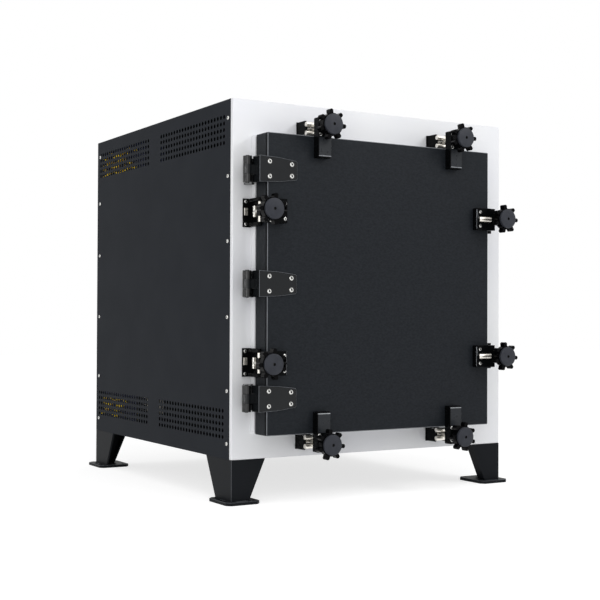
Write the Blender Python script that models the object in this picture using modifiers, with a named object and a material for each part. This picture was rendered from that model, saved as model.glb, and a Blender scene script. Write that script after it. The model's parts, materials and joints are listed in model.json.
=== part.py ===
"""Thermal cycling furnace on four legs, its side-hung door held shut by eight hook-bolt clamps.

Metres, +Z up, the door faces -Y. The origin is on the floor, under the middle of the whole object.
Below, places on the casing are given in the furnace's own frame: X from its middle, Y back from the
face of the front plate, Z up from its underside. The empty named furnace carries that frame.
"""

import math

import bmesh
import bpy
from mathutils import Matrix, Vector

for old in list(bpy.data.objects):
    bpy.data.objects.remove(old, do_unlink=True)

# Clearances
GAP = 0.0003
RUNNING_GAP = 0.0005
CUT_OVERRUN = 0.004

# Casing
BODY_WIDTH = 0.952
BODY_HEIGHT = 1.000
BODY_DEPTH = 1.017
SHEET = 0.002
PANEL_RETURN = 0.022
FRONT_SHEET = 0.003
FRONT_RETURN = 0.014
FRONT_EDGE = 0.0015
BASE_TUBE = 0.040
BEARER_WIDTH = 0.060
REAR_BAY_DEPTH = 0.1627

# Door
DOOR_LEFT_MARGIN = 0.059
DOOR_RIGHT_MARGIN = 0.122
DOOR_TOP_MARGIN = 0.1015
DOOR_BOTTOM = 0.0715
DOOR_THICKNESS = 0.066
DOOR_SHEET = 0.003
DOOR_LIP = 0.060
DOOR_EDGE = 0.002
SEAM_BEHIND_FACE = 0.012
SEAM_WIDTH = 0.0012
SEAM_DEPTH = 0.001
SEAT_THICKNESS = 0.022
SEAT_TO_DOOR = 0.004
GASKET_WIDTH = 0.018
GASKET_INSET = 0.020
GASKET_CORNER = 0.010

# Chamber
CHAMBER_WIDTH = 0.520
CHAMBER_HEIGHT = 0.560
LINING_REAR = 0.200
LINING_BEYOND_DOOR = 0.0045
LINING_WITHIN_DOOR = 0.0135
PLUG_DEPTH = 0.050
PLUG_CLEARANCE = 0.012
PLUG_TAPER = 0.008
HEARTH_THICKNESS = 0.015
HEARTH_MARGIN = 0.040

# Heating elements, one hairpin winding on each side wall
ELEMENT_RADIUS = 0.0045
ELEMENT_RUNS = 8
ELEMENT_END_MARGIN = 0.064
ELEMENT_MARGIN = 0.060
BEND_STEPS = 4

# Thermocouple
PROBE_RADIUS = 0.006
PROBE_REACH = 0.060
PROBE_HEAD_RADIUS = 0.022
PROBE_HEAD_LENGTH = 0.036

# Electrical pieces in the rear bay
TRANSFORMER_WIDTH = 0.110
TRANSFORMER_DEPTH = 0.120
TRANSFORMER_HEIGHT = 0.130
TRANSFORMER_INSET = 0.012
COIL_STANDOFF = 0.014
COIL_HEIGHT = 0.080
COIL_WIDTH = 0.034
COIL_PLACE_SHARES = (0.27, 0.73)
DUCT_WIDTH = 0.080
DUCT_HEIGHT = 0.060
DUCT_LENGTH = 0.260
DUCT_LID = 0.004
DUCT_LID_OVERHANG = 0.003
GLAND_RADIUS = 0.014
GLAND_NUT_RADIUS = 0.018
GLAND_NUT_LENGTH = 0.010
GLAND_LENGTH = 0.026
GLAND_BORE = 0.007
GLAND_LIP = 0.0025
GLAND_INSET = 0.110
GLAND_HEIGHT = 0.090

# Legs
LEG_HEIGHT = 0.122
LEG_SHEET = 0.006
LEG_RETURN = 0.032
LEG_FRONT_TOP = 0.106
LEG_FRONT_FOOT = 0.053
LEG_SIDE_TOP = 0.155
LEG_SIDE_FOOT = 0.092
FOOT_THICKNESS = 0.009
FOOT_WIDTH = 0.105
FOOT_DEPTH = 0.124
FOOT_OUT = 0.022
FOOT_CLIP = 0.012
FOOT_HOLE_RADIUS = 0.0065
FOOT_HOLE_MARGIN = 0.018

# Hinges
HINGE_AXIS_OUT = 0.044
HINGE_AXIS_FORWARD = 0.058
HINGE_FROM_DOOR_END = 0.1015
HINGE_HEIGHT = 0.072
MIDDLE_KNUCKLE = 0.026
BARREL_RADIUS = 0.0125
HINGE_PIN_RADIUS = 0.0048
HINGE_PIN_PROUD = 0.002
HINGE_PLATE = 0.0045
HINGE_FOOT_WIDTH = 0.0225
HINGE_FOOT_CLEARANCE = 0.002
HINGE_FOOT_THICKNESS = 0.018
HINGE_WAIST_SHARE = 0.8
HINGE_WALL_OUT = 0.017
HINGE_WALL = 0.010
LEAF_REACH = 0.135
LEAF_END_HEIGHT = 0.054
LEAF_BULGE = 0.002
LEAF_CORNER = 0.006

# Clamps. Each bolt's axis stands off the door's edge
END_CLAMP_INSET = 0.1555
END_CLAMP_SHIFT = 0.0125
HINGE_TO_CLAMP = 0.105
LEFT_CLAMP_SHIFT = -0.009
RIGHT_CLAMP_SHIFT = 0.001
END_BOLT_OUT = 0.026
SIDE_BOLT_OUT = 0.018
BOLT_RADIUS = 0.0045
BOLT_GRIP = 0.030
HOOK_RADIUS = 0.0048
HOOK_HALF = 0.015
HOOK_TO_PIN = 0.0006
KEEPER_PLATE = 0.005
KEEPER_NOSE = 0.005
KEEPER_STEP = 0.001

# Keepers of the side clamps, and those of the top and bottom ones
SIDE_KEEPER_LENGTH = 0.079
SIDE_KEEPER_INBOARD = 0.0165
SIDE_KEEPER_OUTBOARD = 0.010
SIDE_PIN_RADIUS = 0.004
SIDE_PIN_OUT = 0.0105
SIDE_PIN_FORWARD = 0.062
SIDE_EAR = 0.0095
SIDE_EAR_REACH = 0.070
SIDE_EAR_MARGIN = 0.0065
SIDE_CHEEK = 0.0035
SIDE_CHEEK_REACH = 0.044
END_KEEPER_LENGTH = 0.048
END_KEEPER_INBOARD = 0.016
END_KEEPER_OUTBOARD = 0.024
END_PIN_RADIUS = 0.0065
END_PIN_OUT = 0.0125
END_PIN_FORWARD = 0.052
END_EAR = 0.005
END_EAR_REACH = 0.051

# Brackets on the door that carry the bolts
STRAP_WIDTH = 0.043
STRAP_THICKNESS = 0.026
STRAP_INBOARD = 0.088
STRAP_CHAMFER = 0.005
STRAP_OUTBOARD = 0.024
BLOCK_WIDTH = 0.066
BLOCK_THICKNESS = 0.019
BLOCK_INBOARD = 0.078
BLOCK_OUTBOARD = 0.016
BLOCK_CORNER = 0.004
BOSS_RADIUS = 0.0155
SLOT_WIDTH = 0.022
SLOT_LENGTH = 0.048
SLOT_MARGIN = 0.012
SLOT_FLOOR = 0.005
ARM_RADIUS = 0.0075
BRACKET_EDGE = 0.0015

# Star knobs
KNOB_HUB_RADIUS = 0.015
KNOB_HUB_LENGTH = 0.0214
KNOB_STAR = 0.018
KNOB_CAP = 0.008
KNOB_CAP_RADIUS = 0.0285
KNOB_CAP_EDGE = 0.003
KNOB_LOBES = 7
LOBE_RADIUS = 0.0066
LOBE_CIRCLE = 0.0365
VALLEY_RADIUS = 0.033
KNOB_DIMPLE_RADIUS = 0.003
KNOB_DIMPLE_DEPTH = 0.004

# Facets round a full turn, and steps along an arc
KNOB_FACETS = 24
ROUND_FACETS = 16
PIN_FACETS = 12
LOBE_STEPS = 5
CORNER_STEPS = 3

# Sizes that follow from those above
DOOR_WIDTH = BODY_WIDTH - DOOR_LEFT_MARGIN - DOOR_RIGHT_MARGIN
DOOR_HEIGHT = BODY_HEIGHT - DOOR_BOTTOM - DOOR_TOP_MARGIN
DOOR_REAR = SEAT_THICKNESS + SEAT_TO_DOOR
DOOR_FACE = DOOR_REAR + DOOR_THICKNESS
CHAMBER_X = (DOOR_LEFT_MARGIN - DOOR_RIGHT_MARGIN) / 2
CHAMBER_Z = DOOR_BOTTOM + DOOR_HEIGHT / 2
PANEL_FRONT = FRONT_RETURN + GAP
PANEL_BACK = BODY_DEPTH - FRONT_RETURN - GAP
INNER_HALF = BODY_WIDTH / 2 - PANEL_RETURN - GAP
LINING_FRONT = FRONT_SHEET + GAP
LINING_BACK = PANEL_BACK - REAR_BAY_DEPTH
LINING_SIDE = (DOOR_WIDTH - CHAMBER_WIDTH) / 2 + LINING_BEYOND_DOOR
LINING_TOP = (DOOR_HEIGHT - CHAMBER_HEIGHT) / 2 - LINING_WITHIN_DOOR
CHAMBER_DEPTH = LINING_BACK - LINING_REAR
ELEMENT_PITCH = (CHAMBER_DEPTH - PLUG_DEPTH - 2 * ELEMENT_END_MARGIN) / (ELEMENT_RUNS - 1)
HINGE_SPACING = DOOR_HEIGHT / 2 - HINGE_FROM_DOOR_END
SIDE_CLAMP_RISE = HINGE_SPACING - HINGE_TO_CLAMP
END_CLAMP_HALF = DOOR_WIDTH / 2 - END_CLAMP_INSET
BRACKET_REAR = DOOR_FACE + GAP
BRACKET_FACE = BRACKET_REAR + STRAP_THICKNESS
KNOB_REAR = BRACKET_FACE + GAP
KNOB_LENGTH = KNOB_HUB_LENGTH + KNOB_STAR + KNOB_CAP
SIDE_HOOK_FORWARD = SIDE_PIN_FORWARD - SIDE_PIN_RADIUS - HOOK_TO_PIN - HOOK_RADIUS
END_HOOK_FORWARD = END_PIN_FORWARD - END_PIN_RADIUS - HOOK_TO_PIN - HOOK_RADIUS
GLAND_END = BODY_DEPTH + GAP + GLAND_LENGTH
MIDDLE_Y = (GLAND_END - KNOB_REAR - KNOB_LENGTH) / 2

# An outline is drawn flat; these stand it up. UPRIGHT reads (across, up), SIDEWAYS reads (back, up)
FLAT = Matrix.Identity(4)
UPRIGHT = Matrix.Rotation(math.pi / 2, 4, "X")
SIDEWAYS = Matrix(((0, 0, 1, 0), (1, 0, 0, 0), (0, 1, 0, 0), (0, 0, 0, 1)))

# Colour, roughness and metallic value of each finish
FINISHES = {
    "charcoal_paint": ((0.020, 0.022, 0.025), 0.55, 0.0),
    "white_paint": ((0.78, 0.79, 0.80), 0.40, 0.0),
    "black_steel": ((0.010, 0.010, 0.011), 0.40, 0.3),
    "bright_steel": ((0.62, 0.61, 0.59), 0.25, 1.0),
    "ceramic_fibre": ((0.83, 0.80, 0.73), 0.95, 0.0),
    "fibre_rope": ((0.55, 0.52, 0.45), 0.95, 0.0),
    "silicon_carbide": ((0.09, 0.09, 0.10), 0.80, 0.0),
    "element_alloy": ((0.20, 0.17, 0.15), 0.60, 1.0),
    "ceramic": ((0.86, 0.83, 0.76), 0.50, 0.0),
    "varnished_copper": ((0.45, 0.30, 0.03), 0.45, 0.0),
    "blue_plastic": ((0.03, 0.05, 0.16), 0.50, 0.0),
    "black_plastic": ((0.015, 0.015, 0.016), 0.45, 0.0),
}


def collection(name):
    made = bpy.data.collections.new(name)
    bpy.context.scene.collection.children.link(made)
    return made


PARTS = collection("thermal_cycling_furnace")
CUTTERS = collection("cutters")


def material(name, finish):
    colour, roughness, metallic = FINISHES[finish]
    made = bpy.data.materials.new(name + "_" + finish)
    made.use_nodes = True
    shader = made.node_tree.nodes["Principled BSDF"]
    shader.inputs["Base Color"].default_value = (*colour, 1)
    shader.inputs["Roughness"].default_value = roughness
    shader.inputs["Metallic"].default_value = metallic
    return made


def frame(name, place, parent=None):
    """An empty that carries pieces; place is a position or a whole matrix."""
    made = bpy.data.objects.new(name, None)
    made.parent = parent
    made.matrix_basis = place if isinstance(place, Matrix) else Matrix.Translation(place)
    PARTS.objects.link(made)
    return made


def part(name, mesh, finish, parent):
    mesh.name = name
    mesh.materials.clear()
    mesh.materials.append(material(name, finish))
    made = bpy.data.objects.new(name, mesh)
    made.parent = parent
    PARTS.objects.link(made)
    return made


def boolean(target, operation, meshes):
    for mesh in meshes:
        name = f"{target.name}_{operation.lower()}_{len(target.modifiers)}"
        other = bpy.data.objects.new(name, mesh)
        other.parent = target.parent
        other.hide_render = True
        other.display_type = "WIRE"
        CUTTERS.objects.link(other)
        modifier = target.modifiers.new(name, "BOOLEAN")
        modifier.operation = operation
        modifier.object = other


def cut(target, *meshes):
    boolean(target, "DIFFERENCE", meshes)


def join(target, *meshes):
    boolean(target, "UNION", meshes)


def bevel(target, width):
    modifier = target.modifiers.new("edges", "BEVEL")
    modifier.width = width
    modifier.segments = 1
    modifier.limit_method = "ANGLE"


def smooth(target):
    target.data.shade_smooth()
    target.data.set_sharp_from_angle(angle=math.radians(40))


def box(low, high):
    low, high = Vector(low), Vector(high)
    mesh = bpy.data.meshes.new("box")
    bm = bmesh.new()
    bmesh.ops.create_cube(bm, size=1)
    bmesh.ops.scale(bm, vec=high - low, verts=bm.verts)
    bmesh.ops.translate(bm, vec=(low + high) / 2, verts=bm.verts)
    bm.to_mesh(mesh)
    bm.free()
    return mesh


def narrowed_box(low, high, inset):
    """A box whose rear face is smaller by the inset all round."""
    mesh = box(low, high)
    middle = (Vector(low) + Vector(high)) / 2
    for vertex in mesh.vertices:
        if vertex.co.y > middle.y:
            vertex.co.x -= math.copysign(inset, vertex.co.x - middle.x)
            vertex.co.z -= math.copysign(inset, vertex.co.z - middle.z)
    return mesh


def rod(start, end, radius, facets, end_radius=None):
    start, end = Vector(start), Vector(end)
    mesh = bpy.data.meshes.new("rod")
    bm = bmesh.new()
    bmesh.ops.create_cone(
        bm,
        cap_ends=True,
        segments=facets,
        radius1=radius,
        radius2=radius if end_radius is None else end_radius,
        depth=(end - start).length,
    )
    turn = Vector((0, 0, 1)).rotation_difference(end - start).to_matrix().to_4x4()
    bmesh.ops.transform(bm, matrix=Matrix.Translation((start + end) / 2) @ turn, verts=bm.verts)
    bm.to_mesh(mesh)
    bm.free()
    return mesh


def evaluated(source):
    """The welded mesh that a curve, or an object with modifiers, makes. The source is removed."""
    bpy.context.scene.collection.objects.link(source)
    graph = bpy.context.evaluated_depsgraph_get()
    mesh = bpy.data.meshes.new_from_object(source.evaluated_get(graph))
    bpy.data.objects.remove(source, do_unlink=True)
    bm = bmesh.new()
    bm.from_mesh(mesh)
    bmesh.ops.remove_doubles(bm, verts=bm.verts, dist=GAP / 10)
    bm.to_mesh(mesh)
    bm.free()
    return mesh


def outline(loops, thickness, stands, offset=(0, 0, 0)):
    """A flat plate, its middle at the offset. The first loop is its edge, any others are holes."""
    curve = bpy.data.curves.new("outline", "CURVE")
    curve.dimensions = "2D"
    curve.fill_mode = "BOTH"
    curve.extrude = thickness / 2
    for loop in loops:
        spline = curve.splines.new("POLY")
        spline.points.add(len(loop) - 1)
        for point, (across, up) in zip(spline.points, loop):
            point.co = (across, up, 0, 1)
        spline.use_cyclic_u = True
    mesh = evaluated(bpy.data.objects.new("outline", curve))
    mesh.transform(Matrix.Translation(offset) @ stands)
    return mesh


def turned(profile, facets):
    """A solid of revolution about Z, from (radius, height) points that run from top to bottom."""
    mesh = bpy.data.meshes.new("profile")
    points = [(radius, 0, height) for radius, height in profile]
    mesh.from_pydata(points, [(i, i + 1) for i in range(len(points) - 1)], [])
    source = bpy.data.objects.new("profile", mesh)
    screw = source.modifiers.new("turn", "SCREW")
    screw.steps = facets
    screw.render_steps = facets
    screw.use_merge_vertices = True
    screw.merge_threshold = GAP / 10
    return evaluated(source)


def arc(centre, radius, start, stop, steps):
    """Points on an arc, from one angle to another in degrees."""
    angles = [math.radians(start + (stop - start) * i / steps) for i in range(steps + 1)]
    return [(centre[0] + radius * math.cos(a), centre[1] + radius * math.sin(a)) for a in angles]


def round_rectangle(half_width, half_height, corner, steps):
    x, y = half_width - corner, half_height - corner
    loop = []
    for centre, start in (((x, y), 0), ((-x, y), 90), ((-x, -y), 180), ((x, -y), 270)):
        loop += arc(centre, corner, start, start + 90, steps)
    return loop


def circle(centre, radius, facets):
    return arc(centre, radius, 0, 360, facets)[:-1]


# The frames that carry everything
FURNACE = frame("furnace", (0, -MIDDLE_Y, LEG_HEIGHT))
HINGE_AXIS = Vector((CHAMBER_X - DOOR_WIDTH / 2 - HINGE_AXIS_OUT, -HINGE_AXIS_FORWARD, 0))
DOOR_HINGE = frame("door_hinge_axis", HINGE_AXIS, FURNACE)
DOOR_CENTRE = Vector((CHAMBER_X, 0, CHAMBER_Z))
SEAT = frame("seat_centre", DOOR_CENTRE, FURNACE)
DOOR = frame("door_centre", DOOR_CENTRE - HINGE_AXIS, DOOR_HINGE)


# Casing
def mouth(front, back, middle=DOOR_CENTRE):
    """The chamber's cross-section as a box between two places in Y."""
    half, rise = CHAMBER_WIDTH / 2, CHAMBER_HEIGHT / 2
    return box(
        (middle.x - half, front, middle.z - rise),
        (middle.x + half, back, middle.z + rise),
    )


def front_plate():
    """A folded pan whose returns face back, with the mouth of the chamber cut out."""
    half = BODY_WIDTH / 2
    plate = part(
        "front_plate", box((-half, 0, 0), (half, FRONT_RETURN, BODY_HEIGHT)), "white_paint", FURNACE
    )
    bevel(plate, FRONT_EDGE)
    inner = half - FRONT_SHEET
    back = FRONT_RETURN + CUT_OVERRUN
    cut(
        plate,
        box((-inner, FRONT_SHEET, FRONT_SHEET), (inner, back, BODY_HEIGHT - FRONT_SHEET)),
        mouth(-CUT_OVERRUN, back),
    )


def door_seat_frame():
    """The raised frame that the door closes against."""
    half, rise = DOOR_WIDTH / 2, DOOR_HEIGHT / 2
    seat = part(
        "door_seat_frame",
        box((-half, -SEAT_THICKNESS, -rise), (half, -GAP, rise)),
        "white_paint",
        SEAT,
    )
    cut(seat, mouth(-SEAT_THICKNESS - CUT_OVERRUN, CUT_OVERRUN, Vector()))


def side_panel(name, side):
    """A folded pan whose returns face inwards."""
    outer, inner = side * BODY_WIDTH / 2, side * (BODY_WIDTH / 2 - PANEL_RETURN)
    low_x, high_x = sorted((outer, inner))
    panel = part(
        name, box((low_x, PANEL_FRONT, 0), (high_x, PANEL_BACK, BODY_HEIGHT)), "charcoal_paint", FURNACE
    )
    low_x, high_x = sorted((outer - side * SHEET, inner - side * CUT_OVERRUN))
    cut(
        panel,
        box(
            (low_x, PANEL_FRONT + SHEET, SHEET),
            (high_x, PANEL_BACK - SHEET, BODY_HEIGHT - SHEET),
        ),
    )


def top_panel():
    """A pan that hangs between the side panels, its returns facing down."""
    low = BODY_HEIGHT - PANEL_RETURN
    panel = part(
        "top_panel",
        box((-INNER_HALF, PANEL_FRONT, low), (INNER_HALF, PANEL_BACK, BODY_HEIGHT)),
        "charcoal_paint",
        FURNACE,
    )
    inner = INNER_HALF - SHEET
    cut(
        panel,
        box(
            (-inner, PANEL_FRONT + SHEET, low - CUT_OVERRUN),
            (inner, PANEL_BACK - SHEET, BODY_HEIGHT - SHEET),
        ),
    )


def back_panel():
    """A pan like the front plate's, its returns facing forward, with the hole for the gland."""
    half, front = BODY_WIDTH / 2, BODY_DEPTH - FRONT_RETURN
    panel = part(
        "back_panel",
        box((-half, front, 0), (half, BODY_DEPTH, BODY_HEIGHT)),
        "charcoal_paint",
        FURNACE,
    )
    inner = half - SHEET
    x = half - GLAND_INSET
    cut(
        panel,
        box(
            (-inner, front - CUT_OVERRUN, SHEET),
            (inner, BODY_DEPTH - SHEET, BODY_HEIGHT - SHEET),
        ),
        rod(
            (x, front, GLAND_HEIGHT),
            (x, BODY_DEPTH + CUT_OVERRUN, GLAND_HEIGHT),
            GLAND_RADIUS,
            ROUND_FACETS,
        ),
    )


def base_frame():
    """A floor sheet inside a ring of tubes, and the two bearers that the lining stands on."""
    base = part(
        "base_frame",
        box((-INNER_HALF, PANEL_FRONT, 0), (INNER_HALF, PANEL_BACK, BASE_TUBE)),
        "black_steel",
        FURNACE,
    )
    inner = INNER_HALF - BASE_TUBE
    front, back = PANEL_FRONT + BASE_TUBE, PANEL_BACK - BASE_TUBE
    cut(base, box((-inner, front, SHEET), (inner, back, BASE_TUBE + CUT_OVERRUN)))
    top = CHAMBER_Z - CHAMBER_HEIGHT / 2 - LINING_TOP - GAP
    for side in (-1, 1):
        middle = CHAMBER_X + side * (CHAMBER_WIDTH + LINING_SIDE) / 2
        bearer = box(
            (middle - BEARER_WIDTH / 2, front - BASE_TUBE / 2, SHEET / 2),
            (middle + BEARER_WIDTH / 2, LINING_BACK, top),
        )
        join(base, bearer)


# Chamber
def chamber_lining():
    """The block of ceramic fibre round the chamber, bored for the thermocouple."""
    half = CHAMBER_WIDTH / 2 + LINING_SIDE
    rise = CHAMBER_HEIGHT / 2 + LINING_TOP
    lining = part(
        "chamber_lining",
        box(
            (CHAMBER_X - half, LINING_FRONT, CHAMBER_Z - rise),
            (CHAMBER_X + half, LINING_BACK, CHAMBER_Z + rise),
        ),
        "ceramic_fibre",
        FURNACE,
    )
    start = (CHAMBER_X, CHAMBER_DEPTH - CUT_OVERRUN, CHAMBER_Z)
    end = (CHAMBER_X, LINING_BACK + CUT_OVERRUN, CHAMBER_Z)
    cut(lining, mouth(-CUT_OVERRUN, CHAMBER_DEPTH), rod(start, end, PROBE_RADIUS + GAP, PIN_FACETS))


def hearth_plate():
    floor = CHAMBER_Z - CHAMBER_HEIGHT / 2 + GAP
    half = CHAMBER_WIDTH / 2 - HEARTH_MARGIN
    part(
        "hearth_plate",
        box(
            (CHAMBER_X - half, HEARTH_MARGIN, floor),
            (CHAMBER_X + half, CHAMBER_DEPTH - HEARTH_MARGIN, floor + HEARTH_THICKNESS),
        ),
        "silicon_carbide",
        FURNACE,
    )


def heating_element(name, side):
    """Upright runs joined by hairpin bends, one unbroken rod against the side wall."""
    x = CHAMBER_X + side * (CHAMBER_WIDTH / 2 - ELEMENT_RADIUS - GAP)
    low = CHAMBER_Z - CHAMBER_HEIGHT / 2 + ELEMENT_MARGIN
    high = CHAMBER_Z + CHAMBER_HEIGHT / 2 - ELEMENT_MARGIN
    bend = ELEMENT_PITCH / 2
    first = PLUG_DEPTH + ELEMENT_END_MARGIN
    points = [(first, low)]
    for run in range(ELEMENT_RUNS - 1):
        y = first + run * ELEMENT_PITCH + bend
        if run % 2 == 0:
            points += arc((y, high), bend, 180, 0, BEND_STEPS)
        else:
            points += arc((y, low), bend, 180, 360, BEND_STEPS)
    last = first + (ELEMENT_RUNS - 1) * ELEMENT_PITCH
    points.append((last, low if ELEMENT_RUNS % 2 == 0 else high))
    curve = bpy.data.curves.new(name, "CURVE")
    curve.dimensions = "3D"
    curve.bevel_depth = ELEMENT_RADIUS
    curve.bevel_resolution = 1
    curve.use_fill_caps = True
    spline = curve.splines.new("POLY")
    spline.points.add(len(points) - 1)
    for point, (y, z) in zip(spline.points, points):
        point.co = (x, y, z, 1)
    smooth(part(name, evaluated(bpy.data.objects.new(name, curve)), "element_alloy", FURNACE))


def thermocouple():
    """A sheathed probe through the rear wall, with its terminal head behind the lining."""
    x, z, head = CHAMBER_X, CHAMBER_Z, LINING_BACK + GAP
    tip = CHAMBER_DEPTH - PROBE_REACH
    back = head + PROBE_HEAD_LENGTH
    probe = part(
        "thermocouple",
        rod((x, tip, z), (x, (head + back) / 2, z), PROBE_RADIUS, PIN_FACETS),
        "ceramic",
        FURNACE,
    )
    join(probe, rod((x, head, z), (x, back, z), PROBE_HEAD_RADIUS, ROUND_FACETS))
    smooth(probe)


# Electrical pieces
def transformer():
    """A laminated core with two coils, on the base frame in the rear bay."""
    left = -INNER_HALF + TRANSFORMER_INSET
    front = PANEL_BACK - TRANSFORMER_INSET - TRANSFORMER_DEPTH
    floor = BASE_TUBE + GAP
    right = left + TRANSFORMER_WIDTH
    core = part(
        "transformer",
        box((left, front, floor), (right, front + TRANSFORMER_DEPTH, floor + TRANSFORMER_HEIGHT)),
        "varnished_copper",
        FURNACE,
    )
    low = floor + (TRANSFORMER_HEIGHT - COIL_HEIGHT) / 2
    for share in COIL_PLACE_SHARES:
        y = front + share * TRANSFORMER_DEPTH
        coil = box(
            (left + COIL_STANDOFF, y - COIL_WIDTH / 2, low),
            (right + COIL_STANDOFF, y + COIL_WIDTH / 2, low + COIL_HEIGHT),
        )
        join(core, coil)


def wire_duct():
    """A lidded trunking on top of the lining, which carries the element leads to the rear."""
    left = CHAMBER_X - CHAMBER_WIDTH / 2 - LINING_SIDE + DUCT_LID_OVERHANG
    front = LINING_BACK - DUCT_LENGTH
    floor = CHAMBER_Z + CHAMBER_HEIGHT / 2 + LINING_TOP + GAP
    top = floor + DUCT_HEIGHT
    right = left + DUCT_WIDTH
    duct = part(
        "wire_duct", box((left, front, floor), (right, LINING_BACK, top)), "blue_plastic", FURNACE
    )
    lid = box(
        (left - DUCT_LID_OVERHANG, front - DUCT_LID_OVERHANG, top - DUCT_LID),
        (right + DUCT_LID_OVERHANG, LINING_BACK + DUCT_LID_OVERHANG, top + DUCT_LID),
    )
    join(duct, lid)


def cable_gland():
    """The supply's inlet: a hexagonal nut and a domed sleeve with an open bore, in the back panel."""
    x, z, face = BODY_WIDTH / 2 - GLAND_INSET, GLAND_HEIGHT, BODY_DEPTH + GAP
    nut_end = face + GLAND_NUT_LENGTH
    stem = GLAND_RADIUS - GAP
    tail = BODY_DEPTH - FRONT_RETURN / 2
    gland = part(
        "cable_gland",
        rod((x, face, z), (x, nut_end, z), GLAND_NUT_RADIUS, 6),
        "black_plastic",
        FURNACE,
    )
    join(
        gland,
        rod((x, tail, z), (x, (face + nut_end) / 2, z), stem, PIN_FACETS),
        rod((x, (face + nut_end) / 2, z), (x, GLAND_END, z), stem, PIN_FACETS, GLAND_BORE + GLAND_LIP),
    )
    cut(
        gland,
        rod((x, tail - CUT_OVERRUN, z), (x, GLAND_END + CUT_OVERRUN, z), GLAND_BORE, PIN_FACETS),
    )


# Legs
def taper_line(corner, inward, top_width, foot_width):
    """The outline of what a leg's sheet loses inboard of its slanting edge."""
    top, foot = CUT_OVERRUN, -LEG_HEIGHT
    slope = (top_width - foot_width) / LEG_HEIGHT
    near = corner + inward * foot_width
    far = corner + inward * (top_width + slope * top)
    outside = corner + inward * (top_width + 2 * LEG_SHEET)
    return [(near, foot), (far, top), (outside, top), (outside, foot)]


def leg_return(corner, inward, low, high):
    """The outline of the flange along the front sheet's slanting edge, still wider than it ends up."""
    slope = (LEG_FRONT_TOP - LEG_FRONT_FOOT) / LEG_HEIGHT
    foot = corner + inward * (LEG_FRONT_FOOT + slope * (low + LEG_HEIGHT))
    top = corner + inward * (LEG_FRONT_FOOT + slope * (high + LEG_HEIGHT))
    return [
        (foot - inward * LEG_SHEET, low),
        (foot + inward * LEG_SHEET, low),
        (top + inward * LEG_SHEET, high),
        (top - inward * LEG_SHEET, high),
    ]


def leg(name, side, end):
    """A folded angle with slanting edges under a corner of the casing, on a clipped foot plate."""
    x = side * BODY_WIDTH / 2
    y = 0 if end < 0 else BODY_DEPTH
    foot = -LEG_HEIGHT + FOOT_THICKNESS
    low, top = foot - FOOT_THICKNESS / 2, -GAP
    wide, deep = LEG_FRONT_TOP + LEG_SHEET, LEG_SIDE_TOP + LEG_SHEET
    angle = [
        (x, y),
        (x - side * wide, y),
        (x - side * wide, y - end * LEG_SHEET),
        (x - side * LEG_SHEET, y - end * LEG_SHEET),
        (x - side * LEG_SHEET, y - end * deep),
        (x, y - end * deep),
    ]
    made = part(
        name, outline([angle], top - low, FLAT, (0, 0, (top + low) / 2)), "charcoal_paint", FURNACE
    )
    flange = leg_return(x, -side, low - FOOT_THICKNESS / 4, top - GAP)
    depth = LEG_RETURN - LEG_SHEET / 2
    join(made, outline([flange], depth, UPRIGHT, (0, y - end * (LEG_RETURN - depth / 2), 0)))
    front = taper_line(x, -side, LEG_FRONT_TOP, LEG_FRONT_FOOT)
    flank = taper_line(y, -end, LEG_SIDE_TOP, LEG_SIDE_FOOT)
    cut(
        made,
        outline([front], 2 * (LEG_RETURN + LEG_SHEET), UPRIGHT, (0, y, 0)),
        outline([flank], 4 * LEG_SHEET, SIDEWAYS, (x, 0, 0)),
    )
    middle_x = x + side * (FOOT_OUT - FOOT_WIDTH / 2)
    middle_y = y + end * (FOOT_OUT - FOOT_DEPTH / 2)
    plate = round_rectangle(FOOT_WIDTH / 2, FOOT_DEPTH / 2, FOOT_CLIP, 1)
    hole_x = FOOT_WIDTH / 2 - FOOT_HOLE_MARGIN
    hole_y = FOOT_DEPTH / 2 - FOOT_HOLE_MARGIN
    holes = [
        circle((-side * hole_x, -end * hole_y), FOOT_HOLE_RADIUS, PIN_FACETS),
        circle((-side * hole_x, end * hole_y), FOOT_HOLE_RADIUS, PIN_FACETS),
    ]
    place = (middle_x, middle_y, foot - FOOT_THICKNESS / 2)
    join(made, outline([plate, *holes], FOOT_THICKNESS, FLAT, place))


# Door
def door_shell():
    """A pressed pan, open behind, with the seam of its front skin round its edge."""
    half, rise = DOOR_WIDTH / 2, DOOR_HEIGHT / 2
    shell = part(
        "door_shell", box((-half, -DOOR_FACE, -rise), (half, -DOOR_REAR, rise)), "charcoal_paint", DOOR
    )
    bevel(shell, DOOR_EDGE)
    seam = outline(
        [
            round_rectangle(half + CUT_OVERRUN, rise + CUT_OVERRUN, DOOR_EDGE, 1),
            round_rectangle(half - SEAM_DEPTH, rise - SEAM_DEPTH, DOOR_EDGE, 1),
        ],
        SEAM_WIDTH,
        UPRIGHT,
        (0, SEAM_BEHIND_FACE - DOOR_FACE, 0),
    )
    half, rise = half - DOOR_LIP, rise - DOOR_LIP
    cut(
        shell,
        seam,
        box(
            (-half, DOOR_SHEET - DOOR_FACE, -rise),
            (half, CUT_OVERRUN - DOOR_REAR, rise),
        ),
    )


def door_plug():
    """The fibre block inside the door, and the narrowing plug that enters the mouth."""
    half, rise = DOOR_WIDTH / 2 - DOOR_LIP - GAP, DOOR_HEIGHT / 2 - DOOR_LIP - GAP
    front = DOOR_SHEET + GAP - DOOR_FACE
    plug = part(
        "door_plug", box((-half, front, -rise), (half, -DOOR_REAR, rise)), "ceramic_fibre", DOOR
    )
    half, rise = CHAMBER_WIDTH / 2 - PLUG_CLEARANCE, CHAMBER_HEIGHT / 2 - PLUG_CLEARANCE
    join(
        plug,
        narrowed_box(
            (-half, -DOOR_REAR - CUT_OVERRUN, -rise),
            (half, PLUG_DEPTH - DOOR_REAR, rise),
            PLUG_TAPER,
        ),
    )


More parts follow.
